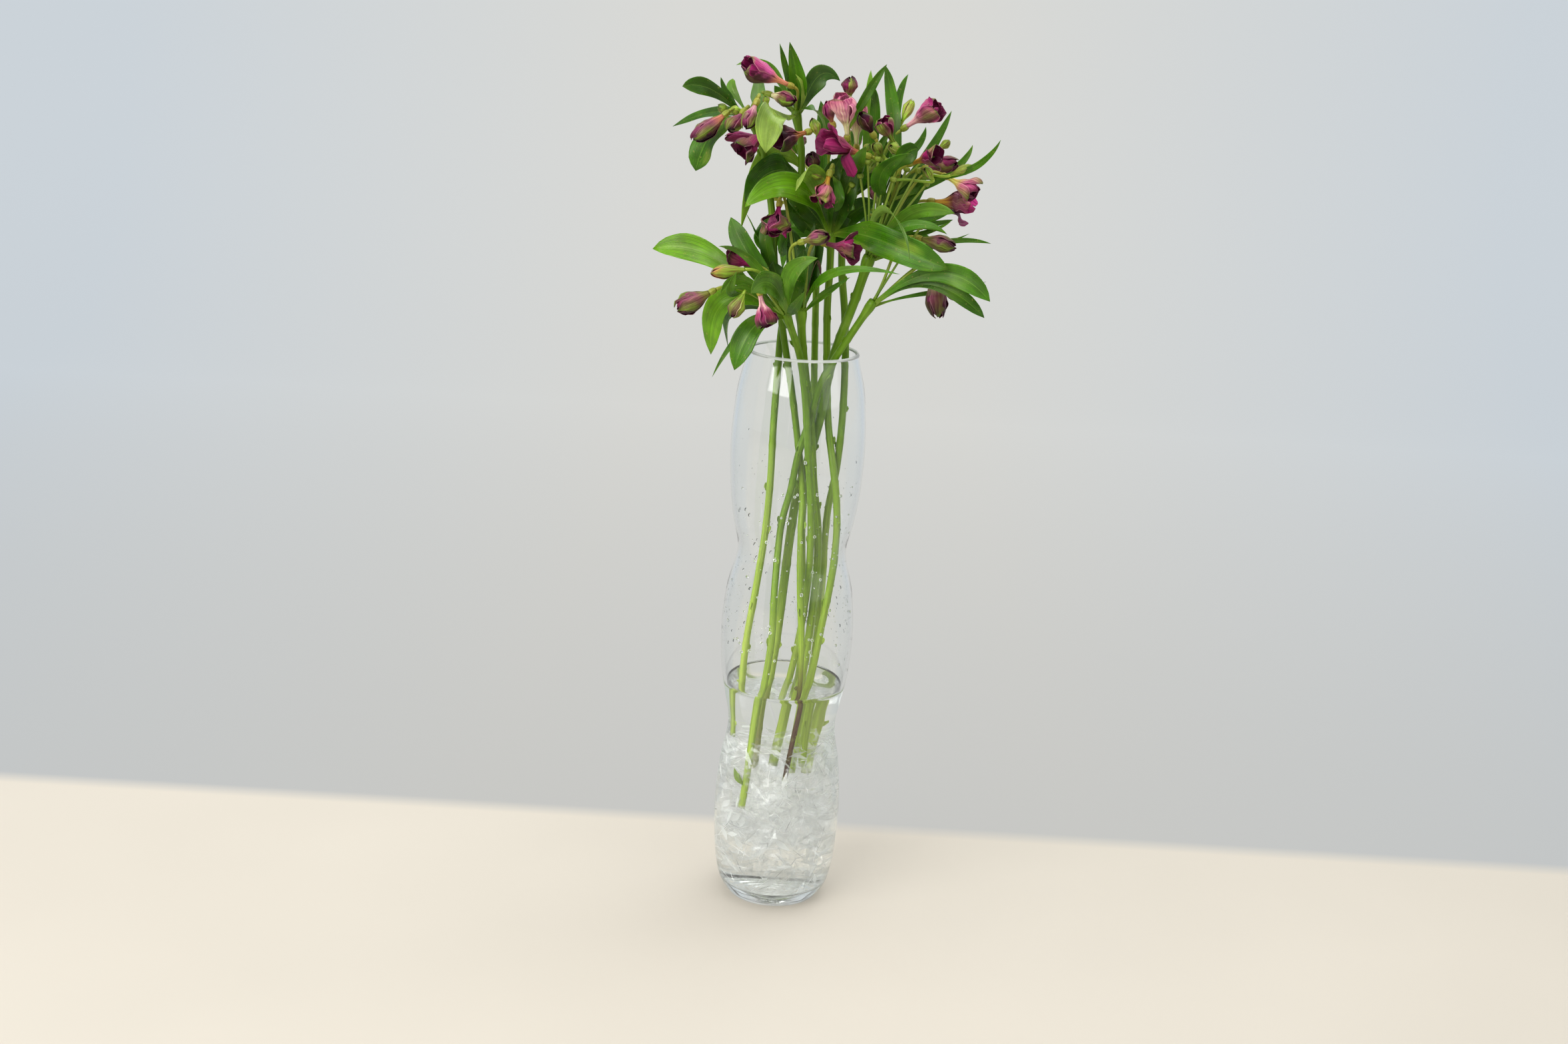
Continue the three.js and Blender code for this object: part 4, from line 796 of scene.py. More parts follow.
def blade_shoot(number, root, guides, leans, breadth, roll):
    """A leaf or bract, each of whose guide points leans more than the one before"""
    def shoot_at(lean):
        curve = bezier(root, *(leaned(guide, share * lean) for guide, share in zip(guides, leans)))
        balls = blade_room(curve, breadth, roll)
        free = balls[np.linalg.norm(balls[:, :3] - root, axis=1) > ROOT_ZONE]
        return [{"owner": f"stem_{number}", "balls": balls, "free": free, "curve": curve}]
    return shoot_at


def leaf_shoot(number, height, near, far, tip, breadth, roll, *_):
    if height:
        root = point_at_height(curves[number - 1], height)
    else:
        root = root_to(number, np.array(near), LEAF_DROP)
    return blade_shoot(number, root, [near, far, tip], LEAF_LEANS, breadth, roll)


def bract_shoot(blooms, bloom, share, guide, tip, breadth):
    root = blooms[bloom - 1][1]["curve"](share)
    return blade_shoot(BLOOMS[bloom - 1][0], root, [guide, tip], BRACT_LEANS, breadth, 0)


def place_all():
    """Places every shoot in turn, and gives what each needs to be drawn"""
    for number, (radius, _) in enumerate(STEMS, 1):
        place({"owner": f"stem_{number}", "balls": balls_along(curves[number - 1], radius)})
    blooms = [lean_clear(bloom_shoot(i, *row)) for i, row in enumerate(BLOOMS, 1)]
    buds = [lean_clear(bud_shoot(blooms, *row))[0] for row in BUDS]
    leaves = [lean_clear(leaf_shoot(*row), (True, False))[0] for row in LEAVES]
    bracts = [lean_clear(bract_shoot(blooms, *row))[0] for row in BRACTS]
    leaves += [lean_clear(leaf_shoot(*row))[0] for row in INNER_LEAVES]
    return blooms, buds, leaves, bracts


# Pieces: points, faces and the values that the materials read, put together part by part

def grid_faces(rows, columns, wraps=False):
    i, j = np.meshgrid(np.arange(rows - 1), np.arange(columns if wraps else columns - 1), indexing="ij")
    near = i * columns + j
    right = i * columns + (j + 1) % columns
    return np.stack([near, right, right + columns, near + columns], axis=-1).reshape(-1, 4)


def sheet_faces(rows, columns):
    """A thin closed sheet: the upper grid, the lower grid, and the rim between them"""
    upper = grid_faces(rows, columns)
    count = rows * columns
    ids = np.arange(count).reshape(rows, columns)
    rim = np.concatenate([ids[0], ids[1:, -1], ids[-1, -2::-1], ids[-2:0:-1, 0]])
    onward = np.roll(rim, -1)
    edge = np.stack([onward, rim, rim + count, onward + count], axis=-1)
    return np.vstack([upper, upper[:, ::-1] + count, edge])


def signed_volume(points, faces):
    a, b, c, d = (points[faces[:, k]] for k in range(4))
    return (np.einsum("ij,ij->i", a, np.cross(b, c)) + np.einsum("ij,ij->i", a, np.cross(c, d))).sum()


def new_object(name, points, faces, materials, smoothed=True):
    mesh = bpy.data.meshes.new(name)
    mesh.from_pydata((points * MM).tolist(), [], faces.tolist())
    for material in materials:
        mesh.materials.append(material)
    mesh.polygons.foreach_set("use_smooth", np.full(len(mesh.polygons), smoothed))
    made = bpy.data.objects.new(name, mesh)
    bpy.context.scene.collection.objects.link(made)
    return made


class Piece:
    def __init__(self, name):
        self.name = name
        self.points = []
        self.faces = []
        self.materials = []
        self.finish = []
        self.values = {"tint": [], "along": [], "across": [], "grain": []}
        self.count = 0

    def add(self, points, faces, material, colour=WHITE, along=0.0, across=0.0, grain=0.0):
        """Adds a closed body, with its faces turned outwards"""
        points = np.asarray(points, float).reshape(-1, 3)
        if signed_volume(points - points.mean(axis=0), faces) < 0:
            faces = faces[:, ::-1]
        if material not in self.materials:
            self.materials.append(material)
        self.finish.append(np.full(len(faces), self.materials.index(material)))
        self.points.append(points)
        self.faces.append(faces + self.count)
        self.count += len(points)
        for name, value in zip(self.values, (colour, along, across, grain)):
            wide = 3 if name == "tint" else 1
            self.values[name].append(np.broadcast_to(np.reshape(value, (-1, wide)), (len(points), wide)))

    def build(self, slot, *nodes, smoothed=True):
        made = new_object(self.name, np.vstack(self.points), np.vstack(self.faces), self.materials, smoothed)
        mesh = made.data
        mesh.polygons.foreach_set("material_index", np.concatenate(self.finish).astype(np.int32))
        for name, parts in self.values.items():
            value = np.vstack(parts).astype(np.float32)
            if name == "tint":
                rgba = np.column_stack([value, np.ones(self.count, np.float32)])
                mesh.attributes.new(name, "FLOAT_COLOR", "POINT").data.foreach_set("color", rgba.ravel())
            else:
                mesh.attributes.new(name, "FLOAT", "POINT").data.foreach_set("value", value.ravel())
        mesh.validate()
        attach(made, "root")
        if nodes:
            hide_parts(*nodes)


def add_tube(piece, material, frames, radii, colour, grain=0.0, columns=12):
    """A round body along frames, with a radius at each row, or at each row and column"""
    points, sides, ups = frames
    count = len(points)
    radii = np.asarray(radii, float)
    radii = np.broadcast_to(radii[:, None] if radii.ndim == 1 else radii, (count, columns))
    rows = np.clip(np.arange(-1, count + 1), 0, count - 1)
    angles = round_angles(columns)
    ring = np.cos(angles)[:, None] * sides[rows, None] + np.sin(angles)[:, None] * ups[rows, None]
    body = points[rows, None] + ring * np.pad(radii, ((1, 1), (0, 0)))[..., None]
    colour = np.broadcast_to(np.reshape(colour, (-1, 3)), (count, 3))[rows]
    piece.add(body, grid_faces(count + 2, columns, wraps=True), material, np.repeat(colour, columns, axis=0),
              np.repeat(rows / (count - 1), columns), np.tile(angles / np.pi - 1, count + 2), grain)


def add_sheet(piece, material, middle, lift, colours, share, way, draw):
    """A thin closed sheet, lifted off both sides of its middle surface"""
    points = np.stack([middle + lift, middle - lift])
    along = np.tile(np.repeat(share, len(way)), 2)
    piece.add(points, sheet_faces(*middle.shape[:2]), material, np.stack(colours), along,
              np.tile(way, 2 * len(share)), draw.uniform(0, 50))


def crumple(points, draw, depth, size):
    """Moves points by a smooth noise of the given depth and size"""
    moved = points.copy()
    for _ in range(5):
        way = unit(draw.normal(size=3)) * 2 * np.pi / (size * draw.uniform(0.6, 1.5))
        push = unit(draw.normal(size=3)) * depth * 0.5
        moved += push * np.sin(points @ way + draw.uniform(0, 6.3))[..., None]
    return moved


# Leaves and tepals

def add_blade(piece, material, curve, breadth, roll, outline, look, draw, rows=LEAF_ROWS,
              columns=LEAF_COLUMNS, thickness=LEAF_THICKNESS):
    """A leaf along its curve: folded at the midrib, ribbed along its veins, waved at its edges"""
    upper, lower, patches = look
    share = np.linspace(0, 1, rows)
    way = np.linspace(-1, 1, columns)
    points, sides, ups = frames_at(frames_along(curve, roll), share)
    half = 0.5 * breadth * eased(OUTLINE_SHARES, LEAF_OUTLINES[outline])(share)
    half = np.maximum(half, 1.3 * smooth(0.3 - share, 0, 0.3))[:, None]
    phases = draw.uniform(0, 2 * np.pi, 4)
    fold = LEAF_FOLD * (np.sqrt(way ** 2 + 0.03) - 0.17) * (0.9 + 0.25 * math.sin(phases[0]))
    turns = 2 * np.pi * share[:, None] * draw.uniform(1.4, 2.4)
    wave = LEAF_WAVE * np.sin(turns + np.where(way < 0, phases[1], phases[2])) * way ** 2
    twist = LEAF_TWIST * way * np.sin(2.6 * share[:, None] + phases[3])
    ribs = RIB_HEIGHT * np.cos(10 * np.pi * way) * smooth(share, 0.02, 0.2)[:, None] * (1 - way ** 4)
    height = half * (fold + wave + twist) + ribs * np.minimum(1, half / 4)
    middle = points[:, None] + sides[:, None] * (way * half)[..., None] + ups[:, None] * height[..., None]
    edge = (1 - 0.75 * way ** 4) * thickness / 2
    near_root = smooth(0.22 - share, 0, 0.22)[:, None, None] * 0.55
    blotch = smooth(np.sin(9 * share[:, None] + phases[0]) * np.sin(2.4 * way + phases[1]), 0.5, 1)
    colours = []
    for base in (upper, lower):
        colour = mix(np.broadcast_to(base, middle.shape) * draw.uniform(0.88, 1.12), TINTS["lime"], near_root)
        colours.append(mix(colour, TINTS["lime"], (0.45 * patches * blotch)[..., None]))
    add_sheet(piece, material, middle, ups[:, None] * edge[None, :, None], colours, share, way, draw)


def tepal_colours(look, share, way, down, outer, draw):
    """The colours of a tepal's outside and inside"""
    base, body, tip, green, shade, *tone = look
    share = share[:, None, None]
    way = way[None, :, None]
    shift = draw.uniform(-0.1, 0.06)
    other = TINTS[draw.choice(["pink", "magenta", "purple"])]
    upper = mix(TINTS[body], other, draw.uniform(0, 0.35))
    colour = mix(TINTS[base], upper, smooth(share, 0.15 + shift, 0.5 + shift))
    colour = mix(colour, TINTS[tip], smooth(share + 0.14 * np.abs(way), 0.62, 1.05))
    # Painted shade: the tepals are darkened where they face down, away from the light
    colour = mix(colour, TINTS["dark"], 0.9 * shade * smooth(down, -0.3, 0.55) * smooth(share, 0.15, 0.55))
    inside = mix(colour * 0.7, TINTS["purple"], 0.35 * smooth(share, 0.3, 0.8))
    if outer:
        keel = min(1, 1.25 * green) * np.exp(-(way / 0.6) ** 2) * smooth(share, 0.22, 0.62)
        colour = mix(colour, TINTS["green"], 0.9 * keel)
        colour = mix(colour, TINTS["moss"], smooth(share, 0.9, 1) * 0.85)
    rim = smooth(np.abs(way), 0.84, 1) * smooth(share, 0.25, 0.5)
    colour = mix(colour, TINTS["blush"], 0.35 * rim)
    return colour * draw.uniform(0.8, 1.25) * math.prod(tone), inside


def add_petal(piece, material, body, out, look, share, way, outer, draw):
    """Closes a tepal's sheet, square to its surface, and colours it"""
    normal = unit(np.cross(np.gradient(body, axis=1), np.gradient(body, axis=0)))
    if (normal * out).sum() < 0:
        normal = -normal
    faces = tepal_colours(look, share, way, -normal[..., 2:], outer, draw)
    edge = (TEPAL_THICKNESS / 2 * (1 - 0.6 * way ** 4))[None, :, None]
    add_sheet(piece, material, body, normal * edge, [np.broadcast_to(face, body.shape) for face in faces],
              share, way, draw)


def bent(height, radius, turn):
    """A tepal's path with its direction turned outwards by an angle at each step"""
    rise = np.diff(height)
    out = np.diff(radius)
    run = np.hypot(rise, out)
    angle = np.arctan2(out, rise) + turn[1:]
    return (height[0] + np.concatenate([[0], np.cumsum(run * np.cos(angle))]),
            radius[0] + np.concatenate([[0], np.cumsum(run * np.sin(angle))]))


def add_open_tepal(piece, material, tepal, look, draw, droop):
    """A tepal with a narrow claw, a cupped blade and an uneven tip"""
    form = FORMS[tepal.form]
    share = np.linspace(0, 1, TEPAL_ROWS)
    way = np.linspace(-1, 1, TEPAL_COLUMNS)
    height, radius = tepal_middle(tepal, share)
    height = height * (1 - 0.16 * smooth(droop, 0.5, 1.5))
    height = height - CUP_HEIGHT * (1 - share) * (1 - smooth(share, 0, 0.18))
    radius = mix(1.2 if tepal.inner else 1.6, radius * form.bulge, smooth(share, 0, 0.4))
    curl = draw.uniform(*form.curl) * smooth(share, 0.6, 1)
    height, radius = bent(height, radius, curl + droop * smooth(share, 0.3, 0.7))
    wide = 1.02 * tepal.half * eased(*(INNER_OUTLINE if tepal.inner else OUTER_OUTLINE))(share)
    half = np.minimum(wide, np.maximum(radius, 0.8) * (0.95 if tepal.inner else 1.25))[:, None]
    if droop > 0.5:
        half = np.minimum(wide, 0.62 * tepal.half)[:, None]
    cup = form.cup + draw.uniform(-0.15, 0.3)
    bend = np.maximum(np.abs(radius), 0.8 * half[:, 0])[:, None] * (1 + cup * share[:, None] ** 2)
    angle = way * half / bend
    phase = draw.uniform(0, 2 * np.pi, 3)
    ends = smooth(share, 0.35, 0.8)[:, None]
    blade = smooth(share, 0.1, 0.4)[:, None]
    ruffle = 0.17 * half * way ** 2 * np.sin(9 * share[:, None] + phase[0] + 1.5 * np.sign(way)) * ends
    roll = draw.uniform(-0.25, 0.35) * half * way ** 4 * ends
    relief = 0.1 * half * way + 0.35 * np.exp(-(way / 0.12) ** 2) + 0.12 * np.cos(7 * np.pi * way)
    outward = radius[:, None] - bend * (1 - np.cos(angle)) + ruffle + roll + blade * relief
    side = np.cross(tepal.out, tepal.axis)
    sideways = bend * np.sin(angle) + 2.4 * math.sin(phase[1]) * share[:, None] ** 2
    height = height[:, None] - 0.3 * smooth(share, 0.7, 1)[:, None] * way ** 2
    body = (tepal.base + height[..., None] * tepal.axis + outward[..., None] * tepal.out
            + sideways[..., None] * side)
    body = mix(body, crumple(body, draw, form.crumple, 9), smooth(share, 0.2, 0.6)[:, None, None])
    out = np.cos(angle)[..., None] * tepal.out + np.sin(angle)[..., None] * side
    add_petal(piece, material, body, out, look, share, way, not tepal.inner, draw)


def add_closed_tepals(piece, material, base, tip, breadth, turn, look, draw, loose=1.0):
    """Six tepals round a closed bloom or bud: three inner ones, and three outer ones with gaps between"""
    length = math.dist(base, tip)
    axis = (tip - base) / length
    first, second = across(axis)
    share = np.linspace(0, 1, TEPAL_ROWS)
    way = np.linspace(-1, 1, TEPAL_COLUMNS + 4)
    swell = eased([0, 0.12, 0.3, 0.62, 0.86, 1], [0.25, 0.36, 0.66, 1, 0.7, 0.22])(share)
    arc = eased([0, 0.3, 0.7, 0.9, 1], [1.25, 1.25, 1.1, 0.75, 0.2])(share)
    for k in range(6):
        inner = k % 2 == 1
        middle = math.radians(turn) + math.pi / 3 * k + CLOSED_TWIST * share
        spread = 1 if inner else 1 - draw.uniform(0, 0.28) * loose
        angle = middle[:, None] + way * (arc * mix(1, spread, smooth(share, 0.2, 0.5)))[:, None]
        splay = draw.uniform(-0.05, 0.22) * loose
        size = swell * (0.86 if inner else 0.97) + splay * smooth(share, 0.7, 1)
        lap = 1 + 0.09 * way + (0 if inner else 0.07) * np.exp(-(way / 0.16) ** 2)
        flutes = 0.02 * np.cos(9 * np.pi * way) * smooth(share, 0.05, 0.3)[:, None]
        radius = 0.5 * breadth * size[:, None] * (lap + flutes)
        out = np.cos(angle)[..., None] * first + np.sin(angle)[..., None] * second
        reach = length * (draw.uniform(0.9, 1.0) if k else 1.0)
        body = base + (share * reach)[:, None, None] * axis + radius[..., None] * out
        body = mix(body, crumple(body, draw, 0.35 + 0.25 * loose, 8), smooth(share, 0.2, 0.6)[:, None, None])
        add_petal(piece, material, body, out, look, share, way, not inner, draw)


def add_stamens(piece, material, tepals, draw):
    """Six curved filaments with small anthers"""
    for tepal in tepals:
        reach = tepal.length * draw.uniform(0.45, 0.68)
        start = tepal.base + tepal.out * 0.8 + tepal.axis * 2
        end = tepal.base + tepal.axis * reach + tepal.out * 2.4 + UP * draw.uniform(-2, 2)
        filament = bezier(start, mix(start, end, 0.5) - UP * 1.5, end)
        add_tube(piece, material, frames_along(filament, steps=10), 0.35, TINTS["plum"], columns=6)
        anther = bezier(end - tepal.axis, end + UP * 0.4, end + tepal.axis * 2)
        size = 0.75 * np.sin(np.pi * np.linspace(0.08, 0.92, 7))
        add_tube(piece, material, frames_along(anther, steps=6), size, TINTS["moss"], columns=8)


# Materials

def new_material(name):
    material = bpy.data.materials.new(name)
    material.use_nodes = True
    return material, material.node_tree, material.node_tree.nodes["Principled BSDF"]


def plug(tree, made, sockets):
    """Links each socket of a node to what it is given, or sets it"""
    for key, value in sockets.items():
        if isinstance(value, bpy.types.NodeSocket):
            tree.links.new(value, made.inputs[key])
        else:
            made.inputs[key].default_value = value


def node(tree, kind, sockets, **settings):
    made = tree.nodes.new(kind)
    for key, value in settings.items():
        setattr(made, key, value)
    plug(tree, made, sockets)
    return made.outputs


def attribute(tree, name, output="Fac"):
    return node(tree, "ShaderNodeAttribute", {}, attribute_name=name)[output]


def object_place(tree):
    return node(tree, "ShaderNodeTexCoord", {})["Object"]


def maths(tree, operation, first, second=0.0):
    return node(tree, "ShaderNodeMath", {0: first, 1: second}, operation=operation)[0]


def times(tree, first, second):
    return maths(tree, "MULTIPLY", first, second)


def ranged(tree, value, low, high, start=0.0, end=1.0):
    sockets = {"Value": value, "From Min": low, "From Max": high, "To Min": start, "To Max": end}
    return node(tree, "ShaderNodeMapRange", sockets)["Result"]


def spread(tree, value, start, end):
    """A noise, most of which lies between 0.3 and 0.7, spread from start to end"""
    return ranged(tree, value, 0.3, 0.7, start, end)


def opaque(colour):
    return colour if isinstance(colour, bpy.types.NodeSocket) else (*colour, 1)


def mixed(tree, factor, first, second, blend="MIX"):
    sockets = {0: factor, 6: opaque(first), 7: opaque(second)}
    return node(tree, "ShaderNodeMix", sockets, data_type="RGBA", blend_type=blend)[2]


def toned(tree, colour, *tones, purer=False):
    """A colour made lighter and darker by tones, and its green more so where it gets purer"""
    tone = tones[0]
    for other in tones[1:]:
        tone = times(tree, tone, other)
    green = times(tree, tone, tone) if purer else tone
    grey = node(tree, "ShaderNodeCombineColor", {0: tone, 1: green, 2: tone})[0]
    return mixed(tree, 1.0, colour, grey, "MULTIPLY")


def noise(tree, vector, scale, detail):
    return node(tree, "ShaderNodeTexNoise", {"Vector": vector, "Scale": scale, "Detail": detail})["Fac"]


def streaks(tree, across_scale, along_scale, detail=2.0):
    """A noise drawn out along a blade, from its own across and along values"""
    across_value = times(tree, attribute(tree, "across"), across_scale)
    along_value = times(tree, attribute(tree, "along"), along_scale)
    sockets = {0: across_value, 1: along_value, 2: attribute(tree, "grain")}
    return noise(tree, node(tree, "ShaderNodeCombineXYZ", sockets)[0], 1.0, detail)


def speckle(tree, scale, detail=3.0):
    return noise(tree, object_place(tree), scale, detail)


def plant_skin(tree, shader, colour, rough, relief, depth, soft, sockets):
    """Gives a leaf, stem or petal its colour, roughness, relief and the light that passes under its skin"""
    bump = node(tree, "ShaderNodeBump", {"Height": relief, "Strength": depth, "Distance": 0.0004})[0]
    weight, radius, scale = soft
    plug(tree, shader, {
        "Base Color": colour, "Roughness": rough, "Normal": bump, "Subsurface Weight": weight,
        "Subsurface Radius": radius, "Subsurface Scale": scale, **sockets,
    })


def leaf_material():
    material, tree, shader = new_material("leaf")
    way = attribute(tree, "across")
    veins = ranged(tree, maths(tree, "SINE", times(tree, way, 17 * math.pi)), 0.75, 1.0)
    rib = ranged(tree, maths(tree, "ABSOLUTE", way), 0.0, 0.05, 1.0, 0.0)
    drawn = streaks(tree, 12, 2)
    clouds = ranged(tree, speckle(tree, 50), 0.35, 0.65, 0.72, 1.28)
    colour = toned(tree, attribute(tree, "tint", "Color"), spread(tree, drawn, 0.74, 1.2),
                   spread(tree, streaks(tree, 42, 6), 0.88, 1.1), clouds)
    patch = ranged(tree, speckle(tree, 35, 2), 0.52, 0.7, 0.0, 0.35)
    colour = mixed(tree, patch, colour, tint("6f941c"))
    lines = maths(tree, "MAXIMUM", times(tree, veins, 0.14), times(tree, rib, 0.42))
    colour = mixed(tree, lines, colour, tint("8fb04c"))
    flecks = ranged(tree, speckle(tree, 420, 1), 0.68, 0.76, 0.0, 0.4)
    colour = mixed(tree, flecks, colour, tint("a89a58"))
    relief = maths(tree, "ADD", times(tree, veins, -0.4), times(tree, drawn, 0.7))
    plant_skin(tree, shader, colour, spread(tree, speckle(tree, 120), 0.24, 0.44), relief, 0.35,
               (0.2, (0.6, 1.0, 0.2), 0.0015), {"Specular IOR Level": 0.5, "Specular Tint": (1, 1, 0.85, 1)})
    return material


def stem_material():
    material, tree, shader = new_material("stem")
    drawn = streaks(tree, 8, 6)
    colour = toned(tree, attribute(tree, "tint", "Color"), spread(tree, drawn, 0.78, 1.22))
    pale = ranged(tree, speckle(tree, 70), 0.55, 0.75, 0.0, 0.35)
    colour = mixed(tree, pale, colour, tint("9ab450"))
    plant_skin(tree, shader, colour, spread(tree, speckle(tree, 220), 0.32, 0.5), drawn, 0.4,
               (0.15, (0.7, 1.0, 0.3), 0.002), {})
    return material


def petal_material():
    material, tree, shader = new_material("petal")
    fine = streaks(tree, 22, 1.6, 3)
    colour = toned(tree, attribute(tree, "tint", "Color"), spread(tree, fine, 0.66, 1.34),
                   spread(tree, streaks(tree, 6, 1.2), 0.74, 1.26), purer=True)
    bruise = ranged(tree, speckle(tree, 130), 0.55, 0.78, 0.0, 0.4)
    colour = mixed(tree, bruise, colour, TINTS["plum"])
    plant_skin(tree, shader, colour, spread(tree, speckle(tree, 260), 0.4, 0.62), fine, 0.5,
               (0.2, (1.0, 0.4, 0.8), 0.002),
               {"Specular IOR Level": 0.3, "Sheen Weight": 0.08, "Sheen Roughness": 0.4})
    return material


def clear_material(name, ior, passed):
    """Glass or water, with the share of the lamps' light that it lets through to what is inside"""
    material, tree, shader = new_material(name)
    edge = ranged(tree, node(tree, "ShaderNodeLayerWeight", {"Blend": 0.5})["Facing"], 0.6, 1.0)
    colour = mixed(tree, edge, (0.99, 1, 0.995), EDGE_TINT)
    plug(tree, shader, {"Base Color": colour, "Roughness": 0, "IOR": ior, "Transmission Weight": 1})
    shadow = node(tree, "ShaderNodeLightPath", {})["Is Shadow Ray"]
    through_it = node(tree, "ShaderNodeBsdfTransparent", {"Color": (passed, passed, passed, 1)})[0]
    either = node(tree, "ShaderNodeMixShader", {0: shadow, 1: shader.outputs[0], 2: through_it})[0]
    plug(tree, tree.nodes["Material Output"], {"Surface": either})
    return material


def film_material():
    material, tree, shader = new_material("film")
    turned_away = node(tree, "ShaderNodeLayerWeight", {"Blend": 0.35})["Facing"]
    cloud = ranged(tree, speckle(tree, 240), 0.5, 0.75, 0.0, 0.2)
    plug(tree, shader, {
        "Base Color": (0.97, 0.98, 0.98, 1), "Roughness": 0.2, "Metallic": 0.6, "Specular IOR Level": 0.9,
        "Alpha": maths(tree, "ADD", cloud, ranged(tree, turned_away, 0.35, 0.95, 0.02, 0.62)),
    })
    return material


def pale_material(name, colour, roughness, alpha):
    """A flat colour that lets part of the light through: the painted highlight of the rim, the painted
    highlights and painted dark lines along the film's creases, the painted streaks in the thick base, and the
    pale shards of film
    """
    material, tree, shader = new_material(name)
    plug(tree, shader, {"Base Color": opaque(colour), "Roughness": roughness, "Alpha": alpha})
    return material


# The vase, the water, the film and the drops

outer_radius = eased(*zip(*VASE_OUTLINE))


def inner_radius(height):
    return outer_radius(height) - WALL


def revolve(profile, columns):
    """A closed body turned about Z from [radius, height] points that start and end on the axis"""
    angles = round_angles(columns)
    radius = profile[:, :1]
    height = np.broadcast_to(profile[:, 1:], (len(profile), columns))
    body = np.stack([radius * np.cos(angles), radius * np.sin(angles), height], axis=-1)
    return body, grid_faces(len(profile), columns, wraps=True)


def tapered(spine, side, width):
    """A ribbon along a spine, which narrows to both ends"""
    half = (1 - 0.85 * np.abs(np.linspace(-1, 1, len(spine)))) * width
    return spine[:, None] + half[:, None, None] * np.array([-1, 1])[:, None] * side


def add_thin(piece, material, points, normal):
    sheet = np.stack([points + normal * FILM_HALF, points - normal * FILM_HALF])
    piece.add(sheet, sheet_faces(*points.shape[:2]), material)


def add_base_streaks(vase, material):
    """Grey lines that run round inside the thick base: painted streaks where the thick glass bends the light
    """
    draw = np.random.default_rng(STREAK_SEED)
    share = np.linspace(-1, 1, 9)
    for _ in range(BASE_STREAKS):
        height = draw.uniform(2.5, FLOOR - 1.5)
        reach = outer_radius(height) - draw.uniform(1.5, 8)
        middle = draw.uniform(0, 2 * np.pi)
        angle = middle + share * draw.uniform(5, 17) / reach
        height = height + draw.uniform(-0.6, 0.6) * share
        spine = np.column_stack([reach * np.cos(angle), reach * np.sin(angle), height])
        add_thin(vase, material, tapered(spine, UP, draw.uniform(0.15, 0.55)),
                 np.array([math.cos(middle), math.sin(middle), 0]))


def vase_profile():
    """The outline from the middle of the foot, over the rim, to the middle of the floor"""
    under = np.linspace(0, FOOT_RADIUS - 5, 24)
    under = np.column_stack([under, 1.1 + BASE_RIPPLE * np.sin(1.1 * under) * smooth(under, 0, 6)])
    foot = [[FOOT_RADIUS - 4, 0.2], [FOOT_RADIUS, 0], [FOOT_RADIUS + 2.4, 0.5]]
    heights = np.linspace(1.5, SHOULDER, VASE_ROWS)
    ripple = BASE_RIPPLE * (np.sin(1.3 * heights) - 1) * smooth(BASE_TOP - heights, 0, 12)
    outside = np.column_stack([outer_radius(heights) + ripple, heights])
    angles = np.linspace(0, np.pi, 9)
    mouth = outer_radius(SHOULDER) - WALL / 2
    rim = np.column_stack([mouth + WALL / 2 * np.cos(angles), VASE_HEIGHT + RIM_ROUND * (np.sin(angles) - 1)])
    heights = np.linspace(SHOULDER, FLOOR + FLOOR_CORNER, VASE_ROWS)
    inside = np.column_stack([inner_radius(heights), heights])
    corner = inside[-1, 0]
    floor = [[corner - 1.2, FLOOR + 1.4], [corner - 4, FLOOR + 0.3], [corner - 12, FLOOR], [0, FLOOR]]
    return np.vstack([under, foot, outside, rim, inside, floor])


def make_vase(glass, rim_highlight, streak):
    body, faces = revolve(vase_profile(), VASE_SIDES)
    vase = Piece("vase_glass")
    vase.add(body, faces, glass)
    vase.materials.append(rim_highlight)
    middle = body.reshape(-1, 3)[faces][..., 2].mean(axis=1)
    vase.finish = [np.where(middle > VASE_HEIGHT - RIM_ROUND, 1, 0)]
    add_base_streaks(vase, streak)
    vase.build("glass", "vase")


def make_water(clear):
    """The water, which bites into the glass a little and rises where it meets it"""
    heights = np.linspace(FLOOR + FLOOR_CORNER, WATER_LEVEL, WATER_ROWS)
    side = np.column_stack([inner_radius(heights) + WATER_BITE, heights])
    corner = inner_radius(FLOOR + FLOOR_CORNER)
    floor = [[0, FLOOR - WATER_BITE], [corner - 12, FLOOR - WATER_BITE], [corner - 4, FLOOR + 0.1],
             [corner - 1.1, FLOOR + 1.3]]
    steps = np.array([0, 0.6, 1.4, 2.6, 4.2, 7, 12, 22])
    surface = np.column_stack([side[-1, 0] - steps, WATER_LEVEL + MENISCUS * np.exp(-steps / MENISCUS_REACH)])
    water = Piece("water_body")
    water.add(*revolve(np.vstack([floor, side[:-1], surface, [0, WATER_LEVEL]]), VASE_SIDES), clear)
    water.build("water", "water")


def film_top(x, y):
    return FILM_TOP + 0.16 * x + 4 * np.sin(x / 9 + y / 14) + 3 * np.cos(y / 8 - x / 17)


def folded(points, draw):
    """Moves points by straight folds that run in every direction"""
    moved = points.copy()
    for _ in range(6):
        way = unit(draw.normal(size=3)) / (FOLD_SIZE * draw.uniform(0.6, 1.6))
        fold = np.abs((points @ way + draw.uniform(0, 9)) % 2 - 1) - 0.5
        moved += unit(draw.normal(size=3)) * (FOLD_DEPTH * fold)[..., None]
    return moved


def kept_inside(points):
    """Moves points of the film in from the glass, the floor and the top of the film"""
    x, y, height = np.moveaxis(points, -1, 0)
    height = np.clip(height, FLOOR + FILM_GAP, film_top(x, y) - 1)
    shrink = np.minimum(1, (inner_radius(height) - FILM_GAP) / np.maximum(np.hypot(x, y), 1e-6))
    return np.stack([x * shrink, y * shrink, height], axis=-1)


def film_place(height, angle, share):
    """A place in the film, at a share of the way out to the glass"""
    reach = inner_radius(height) * math.sqrt(share)
    return np.array([reach * math.cos(angle), reach * math.sin(angle), height])


